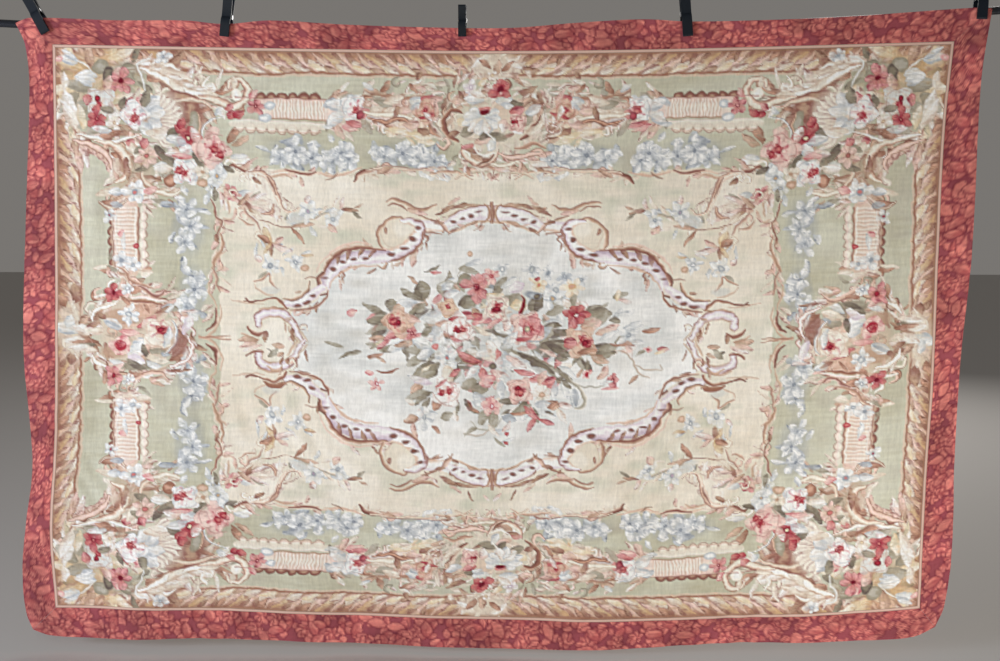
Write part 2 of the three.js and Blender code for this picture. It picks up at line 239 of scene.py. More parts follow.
def sheet_piece(name, x, z, thickness, step, colours, flat):
    """A closed sheet: a fine front, and a back that keeps one row and column in every step.

    x, z, colours and flat are grids from the top left. Rim faces join one coarse edge of the back to
    the step + 1 points of the front beside it.
    """
    rows, columns = x.shape
    y = cloth_depth(x, z)
    front = np.stack([x, y - thickness / 2, z], -1)
    back = np.stack([x, y + thickness / 2, z], -1)[::step, ::step]
    number = np.arange(rows * columns).reshape(rows, columns)
    behind = rows * columns + np.arange(back.shape[0] * back.shape[1]).reshape(back.shape[:2])
    quads = np.stack([number[:-1, :-1], number[1:, :-1], number[1:, 1:], number[:-1, 1:]], -1).reshape(-1, 4)
    backs = np.stack([behind[:-1, :-1], behind[:-1, 1:], behind[1:, 1:], behind[1:, :-1]], -1).reshape(-1, 4)
    rims = []
    loop = [(number[0], behind[0]), (number[:, -1], behind[:, -1]), (number[-1, ::-1], behind[-1, ::-1]),
            (number[::-1, 0], behind[::-1, 0])]
    for fine, coarse in loop:
        for k in range(len(coarse) - 1):
            rims.append(np.concatenate([fine[k * step:(k + 1) * step + 1], [coarse[k + 1], coarse[k]]]))
    points = np.concatenate([front.reshape(-1, 3), back.reshape(-1, 3)])
    piece = new_piece(name, points, [quads, backs, np.array(rims)])
    every = np.concatenate([colours.reshape(-1, 3), colours[::step, ::step].reshape(-1, 3)])
    dye = piece.data.color_attributes.new("dye", "FLOAT_COLOR", "POINT")
    dye.data.foreach_set("color", np.c_[every ** 2.2, np.ones(len(every))].astype(np.float32).ravel())
    places = np.concatenate([flat.reshape(-1, 2), flat[::step, ::step].reshape(-1, 2)])
    side = np.concatenate([np.zeros(rows * columns), np.ones(behind.size)])
    spot = piece.data.attributes.new("flat", "FLOAT_VECTOR", "POINT")
    spot.data.foreach_set("vector", np.c_[places / 1000, side].astype(np.float32).ravel())
    return piece

# Cartoon of the weave and of the print
# The pattern is drawn as a weaver's cartoon on the flat cloth, x to the right and z up from its middle,
# mostly as one quarter that is mirrored into the others. Each kind of motif is a short function, and
# tables say where its leaves, flowers and scrolls go.
PANEL_SIZE = (FLAT_WIDTH - 2 * (2 * GAP + EDGING_WIDTH), FLAT_DROP - 2 * (2 * GAP + EDGING_WIDTH))
PANEL_CELLS = (736, 488)
PAD = 32
CELL = (PANEL_SIZE[0] / PANEL_CELLS[0], PANEL_SIZE[1] / PANEL_CELLS[1])
HALF_W, HALF_H = PANEL_SIZE[0] / 2, PANEL_SIZE[1] / 2
across = (np.arange(PANEL_CELLS[0] + 1 + 2 * PAD) - PAD) * CELL[0] - HALF_W
down = HALF_H - (np.arange(PANEL_CELLS[1] + 1 + 2 * PAD) - PAD) * CELL[1]
flat_x, flat_z = np.meshgrid(across, down)

# Where the pattern drifted on the loom: middle x and z, half width and height, millimetres right and down
DRIFT = [(640, 20, 420, 330, 20, 0), (-350, -560, 420, 230, 34, 6), (150, -420, 620, 250, 10, 20),
         (-450, -320, 450, 240, 4, 14), (-100, -700, 640, 120, 24, 0), (-850, -560, 160, 160, 16, -6)]
hem = 1 - np.clip(np.maximum(np.abs(flat_x) / (HALF_W - 60), np.abs(flat_z) / (HALF_H - 60)), 0, 1) ** 8
drift_right = drift_down = 0
for x, z, wide, tall, right, lower in DRIFT:
    bell = np.exp(-((flat_x - x) / wide) ** 2 - ((flat_z - z) / tall) ** 2)
    drift_right, drift_down = drift_right + right * bell, drift_down + lower * bell

# The weaver's hand: every outline wanders by a few millimetres, and every shade is hatched in short rows
drawn_x = flat_x - drift_right * hem + 3.4 * lattice_noise(flat_x / 15, flat_z / 13, 1)
drawn_x += 5 * lattice_noise(flat_x / 150, flat_z / 150, 2)
drawn_z = flat_z + drift_down * hem + 2.6 * lattice_noise(flat_x / 17, flat_z / 14, 3)
drawn_z += 5 * lattice_noise(flat_x / 170, flat_z / 160, 4)
WANDER = 46.0
hatch = 0.55 * lattice_noise(flat_x / 17, flat_z / 6.5, 5)
hatch += 0.45 * lattice_noise(flat_x / 10, flat_z / 3.6, 6)

TONES = {name: np.array(rgb) / 255 for name, rgb in {
    "sage": (206, 204, 184), "sage_dark": (185, 179, 153), "cream": (227, 216, 197), "ivory": (239, 232, 218),
    "pearl": (219, 219, 214), "mist": (202, 203, 199), "white": (242, 240, 235), "lavender": (222, 208, 214),
    "lilac": (186, 166, 178), "peach": (222, 191, 169), "apricot": (208, 165, 142), "gold": (210, 174, 130),
    "straw": (230, 215, 182), "tan": (188, 155, 131), "rust": (158, 113, 94), "umber": (116, 80, 68),
    "rosewood": (146, 100, 90), "coral": (204, 126, 120), "pink": (222, 164, 160), "blush": (236, 208, 196),
    "crimson": (168, 56, 70), "claret": (118, 36, 50), "olive": (136, 126, 108), "bark": (104, 91, 84),
    "moss": (158, 149, 129), "stone": (183, 176, 161), "smoke": (152, 157, 163), "sky": (197, 200, 202),
    "slate": (124, 130, 140), "madder": (150, 78, 84), "wine": (122, 54, 62), "brick": (198, 106, 99),
    "salmon": (212, 128, 116),
}.items()}

# Dye sets: the tones of a motif's tip, body and shadow
DYES = {
    "white": ("white", "pearl", "smoke"), "ivory": ("white", "ivory", "tan"),
    "cream": ("ivory", "cream", "tan"), "shell": ("ivory", "cream", "rosewood"),
    "gold": ("straw", "gold", "rust"), "tan": ("peach", "tan", "umber"), "rust": ("apricot", "rust", "umber"),
    "blush": ("white", "blush", "rosewood"), "pink": ("blush", "pink", "crimson"),
    "coral": ("pink", "coral", "claret"), "crimson": ("coral", "crimson", "claret"),
    "peach": ("blush", "peach", "rosewood"), "olive": ("moss", "olive", "bark"),
    "stone": ("stone", "moss", "olive"), "bark": ("olive", "bark", "bark"),
    "blue": ("white", "sky", "smoke"), "haze": ("white", "sky", "slate"), "smoke": ("sky", "smoke", "smoke"),
    "mist": ("white", "mist", "smoke"), "slate": ("sky", "smoke", "slate"),
    "lavender": ("white", "lavender", "lilac"), "brown": ("tan", "rosewood", "umber"),
    "yellow": ("ivory", "straw", "gold"), "claret": ("crimson", "claret", "claret"),
    "moss_tan": ("straw", "moss", "olive"), "print": ("salmon", "brick", "wine"),
}

# Mixed dyes of the foliage that fills the ground between the motifs
SCROLL = ("shell", "ivory", "peach", "shell", "blush", "tan", "shell", "brown", "ivory", "peach", "stone",
          "rust")
SHADE = ("stone", "olive", "shell", "ivory", "moss_tan", "yellow")
LEAFAGE = ("olive", "stone", "bark", "ivory", "stone", "olive", "blush", "blue", "bark", "tan", "coral",
           "white")

# Quarters that a motif is drawn in: all four, two mirrored, two by a half turn, or one
EVERY = ((1, 1), (-1, 1), (1, -1), (-1, -1))
LEFT_RIGHT = ((1, 1), (-1, 1))
TURNED = ((1, 1), (-1, -1))
ONCE = ((1, 1),)


def window(x0, x1, z0, z1, flip):
    """Rows and columns of the cloth that hold a box, and their places seen from the flipped quarter."""
    xs, zs = sorted((x0 * flip[0], x1 * flip[0])), sorted((z0 * flip[1], z1 * flip[1]))
    i0 = int((xs[0] - WANDER - across[0]) / CELL[0])
    i1 = int((xs[1] + WANDER - across[0]) / CELL[0]) + 2
    j0 = int((down[0] - zs[1] - WANDER) / CELL[1])
    j1 = int((down[0] - zs[0] + WANDER) / CELL[1]) + 2
    part = (slice(max(j0, 0), max(j1, 0)), slice(max(i0, 0), max(i1, 0)))
    return part, drawn_x[part] * flip[0], drawn_z[part] * flip[1]


def tone(value):
    """A colour from a tone's name, or the colour itself."""
    return TONES[value] if isinstance(value, str) else np.asarray(value)


def lay(part, cover, colour):
    """Weaves a colour over part of the cloth, as far as cover goes from 0 to 1."""
    dyed[part] += cover[..., None] * (colour - dyed[part])


def edge_cover(distance):
    """Cover from the distance inside an outline, softened over one cell of the weave."""
    return np.clip(0.5 + distance / 4.0, 0, 1)


def leaf(x, z, length, width, angle, dyes="cream", bend=0.1, peak=0.5, side=0.6, vein=0.3, line=0.4,
         flips=EVERY):
    """A leaf or petal from its foot. Half width = sine of the place along it, warped to be widest at peak."""
    ca, sa = np.cos(radians(angle)), np.sin(radians(angle))
    tip, base, shade = (tone(t) for t in (DYES[dyes] if isinstance(dyes, str) else dyes))
    warp = np.log(0.5) / np.log(peak)
    ends = np.array([[x, z], [x + length * (ca - bend * sa), z + length * (sa + bend * ca)]])
    lo, hi = ends.min(0) - width * 0.7, ends.max(0) + width * 0.7
    for flip in flips:
        part, px, pz = window(lo[0], hi[0], lo[1], hi[1], flip)
        dx, dz = px - x, pz - z
        a = (dx * ca + dz * sa) / length
        b = dz * ca - dx * sa - bend * length * a * a
        a1 = np.clip(a, 0, 1)
        half = width / 2 * np.sin(np.pi * a1 ** warp) ** 0.7
        rows = hatch[part]
        inside = half - np.abs(b) + 1.2 * rows
        cover = edge_cover(inside) * (a > 0) * (a < 1) * np.clip(0.88 + 0.45 * rows, 0, 1)
        s = np.sign(side) * b / (half + 0.1) + 0.5 * rows
        dark = np.maximum(abs(side) * smooth(s, 0.0, 0.9), vein * edge_cover(1.2 - np.abs(b)) * (a1 < 0.85))
        dark = np.maximum(dark, line * edge_cover(2.2 - inside)) * (0.8 + 0.6 * rows)
        colour = base + (tip - base) * smooth(a1 + 0.5 * rows, 0.1, 0.75)[..., None]
        lay(part, cover, colour + np.clip(dark, 0, 1)[..., None] * (shade - colour))


def curve(points, steps=8):
    """Catmull-Rom curve through a few points, as a polyline with each point's share of its length.

    points are pairs of x and z, or the same numbers in one row.
    """
    p = np.asarray(points, float).reshape(-1, 2)
    p = np.vstack([2 * p[0] - p[1], p, 2 * p[-1] - p[-2]])
    u = np.linspace(0, 1, steps, endpoint=False)[:, None]
    parts = []
    for a, b, c, d in zip(p, p[1:], p[2:], p[3:]):
        cubic = (2 * a - 5 * b + 4 * c - d) * u ** 2 + (3 * b - a - 3 * c + d) * u ** 3
        parts.append(0.5 * (2 * b + (c - a) * u + cubic))
    line = np.vstack(parts + [p[-2][None]])
    run = np.concatenate([[0], np.cumsum(np.hypot(*np.diff(line, axis=0).T))])
    return line, run / run[-1]


def stroke(points, widths, bands, strength=1.0, steps=6, flips=EVERY):
    """A band along a curve, as wide as widths say along it. bands are its tones from right to left."""
    line, run = curve(points, steps)
    most = max(widths)
    bands = np.array([tone(b) for b in bands])
    stops = np.linspace(-1, 1, len(bands))
    for flip in flips:
        part, px, pz = window(line[:, 0].min() - most, line[:, 0].max() + most,
                              line[:, 1].min() - most, line[:, 1].max() + most, flip)
        best = np.full(px.shape, 1e9)
        signed, place = np.zeros(px.shape), np.zeros(px.shape)
        for a, b, ra, rb in zip(line, line[1:], run, run[1:]):
            d = b - a
            k = np.clip(((px - a[0]) * d[0] + (pz - a[1]) * d[1]) / (d @ d), 0, 1)
            ex, ez = px - a[0] - k * d[0], pz - a[1] - k * d[1]
            gap = ex * ex + ez * ez
            near = gap < best
            best = np.where(near, gap, best)
            signed = np.where(near, np.sign(d[0] * ez - d[1] * ex), signed)
            place = np.where(near, ra + k * (rb - ra), place)
        half = np.interp(place, np.linspace(0, 1, len(widths)), widths) / 2
        away = np.sqrt(best)
        s = np.clip(signed * away / (half + 0.1) + 0.3 * hatch[part], -1, 1)
        colour = np.stack([np.interp(s, stops, bands[:, k]) for k in range(3)], -1)
        lay(part, strength * edge_cover(half - away), colour)
    return line, run


def along(line, run, at):
    """Place and heading in degrees at a share of a polyline's length."""
    i = min(np.searchsorted(run, at, side="right"), len(run) - 1)
    d = line[i] - line[i - 1]
    return np.interp(at, run, line[:, 0]), np.interp(at, run, line[:, 1]), np.degrees(np.arctan2(d[1], d[0]))


def dot(x, z, wide, tall, angle=0, dyes="cream", line=0.0, strength=1.0, flips=EVERY):
    """A filled ellipse, from its first tone at the middle to its second at the rim."""
    ca, sa = np.cos(radians(angle)), np.sin(radians(angle))
    middle, rim, shade = (tone(t) for t in (DYES[dyes] if isinstance(dyes, str) else dyes))
    reach = max(wide, tall)
    for flip in flips:
        part, px, pz = window(x - reach, x + reach, z - reach, z + reach, flip)
        a = ((px - x) * ca + (pz - z) * sa) / wide
        b = ((pz - z) * ca - (px - x) * sa) / tall
        r = np.hypot(a, b)
        inside = (1 - r) * min(wide, tall)
        colour = middle + (rim - middle) * smooth(r + 0.4 * hatch[part], 0.2, 0.9)[..., None]
        colour = colour + (line * edge_cover(2.2 - inside))[..., None] * (shade - colour)
        lay(part, strength * edge_cover(inside), colour)


def wash(x, z, wide, tall, angle, name, strength, flips=EVERY):
    """A soft-edged patch of one tone, streaked as the ground is."""
    ca, sa = np.cos(radians(angle)), np.sin(radians(angle))
    reach = 1.4 * max(wide, tall)
    for flip in flips:
        part, px, pz = window(x - reach, x + reach, z - reach, z + reach, flip)
        a = ((px - x) * ca + (pz - z) * sa) / wide
        b = ((pz - z) * ca - (px - x) * sa) / tall
        cover = strength * smooth(1.3 - np.hypot(a, b), 0, 0.6) * (1 + 0.25 * streaks[part])
        lay(part, np.clip(cover, 0, 1), tone(name))


def bloom(x, z, r, petals, turn=0.0, dyes="pink", heart="gold", eye=0.22, plump=0.75, squash=1.0,
          flips=EVERY):
    """An open flower: a ring of petals round a small heart."""
    for k in range(petals):
        a = turn + 360 * k / petals + 14 * np.sin(5.1 * k + x)
        long = r * (1 + 0.22 * np.sin(3.7 * k + z)) * (1 - (1 - squash) * abs(np.sin(radians(a))))
        wide = r * plump * (1 + 0.2 * np.sin(2.9 * k + x)) * 6 / (petals + 1)
        leaf(x, z, long, wide, a, dyes, 0.15 * np.sin(k + x), 0.62, 0.5, 0.25, 0.3, flips)
    shade = DYES[dyes][2]
    dot(x, z, r * eye, r * eye, 0, (heart, shade, shade), flips=flips)


def heart(x, z, r, turn=0.0, flips=EVERY):
    """The folded heart of a rose: small crimson petals round a claret one."""
    for k, dyes in enumerate(("coral", "crimson", "crimson", "claret", "crimson")):
        a = turn + 80 * k
        foot_x, foot_z = x - 0.6 * r * np.cos(radians(a)), z - 0.6 * r * np.sin(radians(a))
        leaf(foot_x, foot_z, r * (1.7 - 0.15 * k), r * 1.1, a, dyes, 0.3, 0.55, 0.5, 0.0, 0.3, flips)


def rose(x, z, r, turn=0.0, outer="blush", inner="pink", core="crimson", shade="rosewood", flips=EVERY):
    """A full rose: ragged outer petals, a cup of inner ones, and a heart set to one side."""
    for k in range(8):
        a = turn + 137 * k
        foot_x, foot_z = x - 0.15 * r * np.cos(radians(a)), z - 0.15 * r * np.sin(radians(a))
        dyes = (outer, inner if k % 4 == 1 else outer, shade)
        long = r * (1.12 + 0.16 * np.sin(3 * k + x))
        leaf(foot_x, foot_z, long, r * 0.86, a, dyes, 0.25 * (-1) ** k, 0.66, 0.45, 0.0, 0.3, flips)
    cx, cz = x + 0.2 * r * np.cos(radians(turn + 40)), z + 0.2 * r * np.sin(radians(turn + 40))
    for k in range(5):
        long, dyes = r * (0.62 + 0.1 * (k % 2)), (outer, inner, core)
        leaf(cx, cz, long, r * 0.5, turn + 30 + 72 * k, dyes, 0.3, 0.62, 0.5, 0.0, 0.3, flips)
    heart(cx, cz, r * 0.3, turn, flips)
    for k, far in enumerate((0.55, 0.8, 1.0, 0.7)):
        turns = [radians(turn + 95 * k + a) for a in (0, 45, 90)]
        arc = [(cx + r * far * np.cos(a), cz + r * far * np.sin(a)) for a in turns]
        stroke(arc, (2, 5, 2), (inner, shade), 0.55, 4, flips)


def acanthus(points, width, lobes=6, out=1, dyes="cream", size=1.5, flips=EVERY):
    """A scroll: leaves that curl off one side of a rounded rib, out 1 for its left and -1 for its right."""
    line, run = curve(points)
    tip, base, shade = DYES[dyes]
    for k in range(lobes):
        at = 0.1 + 0.8 * k / max(lobes - 1, 1)
        x, z, heading = along(line, run, at)
        long = width * size * (0.65 + 0.5 * np.sin(np.pi * min(at * 1.1, 1)))
        leaf(x, z, long * 1.25, long * 0.62, heading + out * 48, dyes, -0.35 * out, 0.45, 0.7 * out, 0.3, 0.5,
             flips)
    bands = (shade, base, tip, tip, base, shade)
    stroke(points, (width * 0.3, width * 0.8, width, width * 0.8, width * 0.35), bands, flips=flips)


def curl(x, z, r, turn, dyes="shell", flips=EVERY):
    """A scroll end: three quarters of a turn that narrows inward."""
    tip, base, shade = DYES[dyes]
    place = [(x + r * k * np.cos(radians(turn + a)), z + r * k * np.sin(radians(turn + a)))
             for a, k in ((0, 1.3), (70, 1.0), (150, 0.85), (230, 0.7), (310, 0.45))]
    stroke(place, (r * 0.2, r * 0.5, r * 0.55, r * 0.45, r * 0.2), (shade, base, tip, base), 1, 5, flips)


def foliage(points, width, count, seed, mix=SCROLL, size=46, flips=EVERY):
    """Leaves and curls of mixed dyes along a path, laid over each other like a scroll's foliage."""
    line, run = curve(points)
    rng = np.random.default_rng(seed)
    for k in range(count):
        x, z, heading = along(line, run, rng.uniform(0.02, 0.98))
        off = rng.uniform(-0.5, 0.5)
        x, z = x - width * off * np.sin(radians(heading)), z + width * off * np.cos(radians(heading))
        turn = heading + 90 * off + rng.normal(0, 22)
        dyes = mix[rng.integers(len(mix))]
        if k % 7 == 3:
            curl(x, z, size * rng.uniform(0.28, 0.42), turn, dyes, flips)
        else:
            long, wide = size * rng.uniform(0.6, 1.3), size * rng.uniform(0.22, 0.42)
            bend, peak = rng.uniform(-0.4, 0.4), rng.uniform(0.4, 0.65)
            leaf(x, z, long, wide, turn, dyes, bend, peak, 0.7, 0.35, 0.3, flips)


def fan(x, z, wide, tall, count, seed, mix=LEAFAGE, size=48, flips=ONCE):
    """Leaves that point away from a middle, as they do behind the flowers of a bunch."""
    rng = np.random.default_rng(seed)
    for k in range(count):
        a, far = rng.uniform(0, 2 * np.pi), np.sqrt(rng.uniform(0.03, 1))
        px, pz = x + wide * far * np.cos(a), z + tall * far * np.sin(a)
        turn = np.degrees(np.arctan2((pz - z) * 1.2, px - x)) + rng.normal(0, 30)
        length, width = size * rng.uniform(0.55, 1.2), size * rng.uniform(0.22, 0.45)
        bend = rng.uniform(-0.3, 0.3)
        leaf(px, pz, length, width, turn, mix[rng.integers(len(mix))], bend, 0.55, 0.6, 0.3, 0.3, flips)


def spray(x, z, wide, tall, count, seed, flips=EVERY):
    """A blue-grey spray: a soft shade, loose petals of three tones over it, and three open flowers."""
    rng = np.random.default_rng(seed)
    places = rng.uniform(-1, 1, (count, 2)) * (wide * 0.85, tall * 0.8) + (x, z)
    wash(x, z, wide, tall, 0, "smoke", 0.36, flips)
    for k, (px, pz) in enumerate(places[::2]):
        dyes = ("smoke", "haze", "slate", "haze", "blue")[k % 5]
        length, width, turn = rng.uniform(28, 54), rng.uniform(12, 24), rng.uniform(0, 360)
        leaf(px, pz, length, width, turn, dyes, rng.uniform(-0.3, 0.3), 0.6, 0.8, 0.35, 0.25, flips)
    for k in (-1, 1, 0):
        run, off = 0.58 * k * max(wide, tall), 0.25 * min(wide, tall) * (1 - 2 * abs(k))
        px, pz = (x + run, z + off) if wide > tall else (x + off, z + run)
        px, pz = px + rng.uniform(-9, 9), pz + rng.uniform(-6, 6)
        turn, dyes = rng.uniform(0, 90), ("haze", "haze", "blue")[k]
        bloom(px, pz, rng.uniform(31, 43), 6 - abs(k), turn, dyes, "smoke", 0.13, 0.7, flips=flips)
        for j in range(8):
            a, far = rng.uniform(0, 2 * np.pi), rng.uniform(2, 15)
            foot_x, foot_z, dyes = px + far * np.cos(a), pz + far * np.sin(a), ("slate", "smoke")[j % 2]
            leaf(foot_x, foot_z, rng.uniform(6, 13), 4, np.degrees(a), dyes, 0.2, 0.5, 0.5, 0.0, 0.0, flips)


def draw(rows, flips=EVERY):
    """Draws a table's rows in their order: a motif's function and its values, or a leaf's values alone."""
    for row in rows:
        if callable(row[0]):
            row[0](*row[1:], flips=flips)
        else:
            leaf(*row, flips=flips)


# Grounds: sage outside, cream inside the frame, pearl in the medallion, all with dye streaks
streaks = 0.5 * lattice_noise(flat_x / 90, flat_z / 12, 11) + 0.5 * lattice_noise(flat_x / 30, flat_z / 5, 12)
clouds = 0.6 * lattice_noise(flat_x / 230, flat_z / 150, 13)
clouds += 0.4 * lattice_noise(flat_x / 70, flat_z / 55, 14)
fades = 0.6 * lattice_noise(flat_x / 130, flat_z / 60, 15) + 0.6 * lattice_noise(flat_x / 48, flat_z / 24, 16)


def ground(light, dark, bias=0.5, streak=0.45, cloud=0.35, third=None, faded=0.6):
    """Mixes two tones by horizontal dye streaks and broad clouds, and a third where the cloth has faded."""
    share = np.clip(bias + streak * streaks + cloud * clouds, 0, 1)[..., None]
    mixed = tone(light) + share * (tone(dark) - tone(light))
    if third:
        mixed += np.clip(faded * fades, 0, 1)[..., None] * (tone(third) - mixed)
    return mixed


def ground_inside(points, colour, flips=EVERY):
    """Weaves a ground inside a closed outline, found by counting crossings along each row."""
    line, _ = curve(list(points) + [points[0]], 10)
    for flip in flips:
        part, px, pz = window(line[:, 0].min(), line[:, 0].max(), line[:, 1].min(), line[:, 1].max(), flip)
        crossings = np.zeros(px.shape, int)
        for a, b in zip(line, line[1:]):
            if a[1] != b[1]:
                level = (pz >= min(a[1], b[1])) & (pz < max(a[1], b[1]))
                crossings += level & (px < a[0] + (pz - a[1]) / (b[1] - a[1]) * (b[0] - a[0]))
        lay(part, (crossings % 2).astype(float), colour[part])


dyed = ground("sage", "sage_dark", 0.35, 0.32, 0.6, "stone", 0.5)
cream_ground = ground("ivory", "cream", 0.6, 0.25, 0.7, "sage", 1.0)
# The pearl ground's strong broad clouds are partly painted shade of soft creases, on top of its own mottled
# dye
pearl_ground = ground("white", "mist", 0.1, 0.28, 0.8, "stone", 0.3)

# Frame: cream inside a thin outline of flat leaves
FIELD = (790.0, 490.0)
ROUND = 60
past_x = np.maximum(np.abs(drawn_x) - FIELD[0] + ROUND, 0)
past_z = np.maximum(np.abs(drawn_z) - FIELD[1] + ROUND, 0)
dyed += edge_cover(ROUND - np.hypot(past_x, past_z))[..., None] * (cream_ground - dyed)

# Medallion: pearl inside a beaded ribbon
MEDALLION = [(0, 372), (-60, 366), (-110, 348), (-165, 330), (-215, 318), (-238, 275), (-300, 245),
             (-400, 243), (-452, 212), (-485, 180), (-500, 140), (-560, 102), (-590, 60), (-560, 10),
             (-590, -50), (-560, -102), (-500, -150), (-485, -190), (-452, -225), (-400, -255), (-300, -262),
             (-238, -290), (-215, -335), (-165, -348), (-110, -368), (-60, -386), (0, -392)]
ground_inside(MEDALLION + [(-x, z) for x, z in MEDALLION[-2:0:-1]], pearl_ground, ONCE)

# Guard band: leaves that follow each other round the edge, from the middle of each side to its corners
GUARD = 64.0
edge = np.minimum(HALF_W - np.abs(drawn_x), HALF_H - np.abs(drawn_z))
band_ground = ground("tan", "rust", 0.3, 0.3, 0.3)
dyed += edge_cover(GUARD - edge)[..., None] * (band_ground - dyed)

# Leaves of one repeat: shift along, place across, length, width, angle, dyes, bend
GUARD_LEAVES = [
    (0, 60, 105, 30, -26, "gold", -0.1), (20, 62, 108, 24, -28, "peach", -0.12),
    (36, 48, 96, 20, -26, "shell", -0.1), (58, 58, 100, 28, -31, "gold", -0.14),
    (70, 42, 78, 22, -24, "shell", -0.16), (84, 60, 104, 20, -31, "peach", -0.08),
    (98, 38, 66, 22, -18, "shell", -0.22), (112, 66, 52, 24, -20, "rust", -0.3),
    (116, 64, 38, 16, -34, "brown", -0.45), (92, 24, 58, 14, -10, "yellow", -0.2),
    (16, 26, 60, 16, -14, "shell", -0.16), (50, 20, 52, 12, -8, "tan", -0.14),
    (30, 60, 40, 12, -20, "brown", -0.3), (76, 62, 36, 10, -25, "rust", -0.3),
]
REPEAT = {"top": 124.0, "left": 112.0}


def guard_leaf(side, along_side, across_side, length, width, angle, dyes, bend):
    """A leaf placed along the top or left guard band, which heads for the side's middle."""
    if side == "top":
        leaf(-along_side, HALF_H - GUARD + across_side, length, width, angle, dyes, bend, 0.4, 0.7, 0.3, 0.45)
    else:
        x = GUARD - HALF_W - across_side
        leaf(x, along_side, length, width, -90 - angle, dyes, -bend, 0.4, -0.7, 0.3, 0.45)


for side, reach in (("top", HALF_W), ("left", HALF_H)):
    for k in range(int(reach / REPEAT[side]) + 1, -1, -1):
        for shift, *row in GUARD_LEAVES:
            guard_leaf(side, (k + shift / REPEAT["top"]) * REPEAT[side] + 70, *row)

for out, wide, name, strength in ((4, 3.2, "rust", 0.9), (-3, 3.0, "peach", 0.7)):
    cover = strength * edge_cover(wide / 2 + 1 - np.abs(edge - GUARD + out))
    dyed += cover[..., None] * (tone(name) - dyed)
dyed += (0.75 * edge_cover(4 - edge))[..., None] * (tone("rust") - dyed)

# Foliage under the motifs of the border: corner, strips and cartouches
UNDER = [
    (foliage, (-1235, 770, -1180, 710, -1190, 620), 90, 34, 1, SHADE, 62),
    (foliage, (-1140, 790, -1080, 740, -1010, 770), 60, 20, 2, SHADE, 56),
    (foliage, (-1180, 690, -1100, 640, -1000, 600), 130, 46, 3, SCROLL, 56),
    (foliage, (-1050, 770, -960, 740, -880, 700, -780, 690), 62, 40, 4, SCROLL, 60),
    (foliage, (-960, 690, -890, 650, -850, 590), 80, 30, 5, ("brown", "rust", "peach", "shell", "tan"), 52),
    (foliage, (-1215, 600, -1160, 560, -1090, 540, -1060, 470), 60, 36, 6, SCROLL, 56),
    (foliage, (-1080, 590, -1010, 560, -960, 500, -940, 430), 84, 36, 7, SHADE + SCROLL, 50),
    (foliage, (-1060, 470, -1010, 440, -930, 415), 46, 20, 8, SCROLL, 48),
    (foliage, (-920, 570, -850, 530, -780, 470), 90, 30, 9, LEAFAGE, 44),
    (foliage, (-1150, 405, -1080, 395, -1000, 405), 44, 18, 10, SCROLL, 46),
    (foliage, (-1120, 195, -1070, 200, -1000, 195), 36, 14, 11, SCROLL, 42),
    (foliage, (-790, 700, -720, 690), 40, 10, 12, SCROLL, 40),
    (foliage, (-500, 650, -440, 660, -380, 650), 80, 26, 13, SCROLL, 46),
    (foliage, (-390, 665, -300, 650, -220, 665, -140, 655), 84, 74, 14, SCROLL, 52),
    (foliage, (-340, 610, -260, 606, -190, 600), 30, 16, 15, ("yellow", "ivory", "shell"), 56),
    (foliage, (-300, 720, -230, 738, -180, 722), 40, 14, 16, SCROLL, 36),
]
UNDER_SIDE = [
    (foliage, (-1165, 30, -1150, 90, -1090, 120, -1000, 130, -930, 110), 52, 44, 20, SCROLL, 50),
    (foliage, (-1165, -30, -1140, -90, -1060, -120, -960, -110, -900, -60), 56, 44, 21, SCROLL, 50),
    (foliage, (-930, 80, -890, 20, -900, -60), 50, 24, 22, ("shell", "blush", "peach", "brown"), 46),
    (foliage, (-1130, 40, -1040, 10, -950, 20), 150, 46, 23,
     ("tan", "peach", "shell", "ivory", "olive", "brown"), 48),
    (foliage, (-1250, 10, -1200, 0, -1140, 5), 90, 30, 24, ("ivory", "shell", "blush", "brown"), 46),
    (foliage, (-1130, 215, -1080, 190, -1040, 150), 30, 12, 25, SCROLL, 40),
    (foliage, (-1110, -190, -1060, -170, -1010, -140), 40, 14, 26, SCROLL, 42),
]
UNDER_TOP = [
    (foliage, (-100, 560, -150, 610, -130, 690, -70, 735, 0, 750), 46, 50, 30, SCROLL, 44),
    (foliage, (100, 560, 150, 620, 130, 700, 70, 740, 0, 750), 56, 56, 31, SCROLL, 44),
    (foliage, (-110, 545, -30, 520, 40, 525, 140, 545), 46, 40, 32, SCROLL, 48),
    (foliage, (-110, 640, 0, 640, 110, 640), 130, 46, 33, SCROLL, 44),
    (foliage, (-60, 800, 0, 780, 60, 800), 50, 20, 34, ("ivory", "shell", "brown"), 38),
]

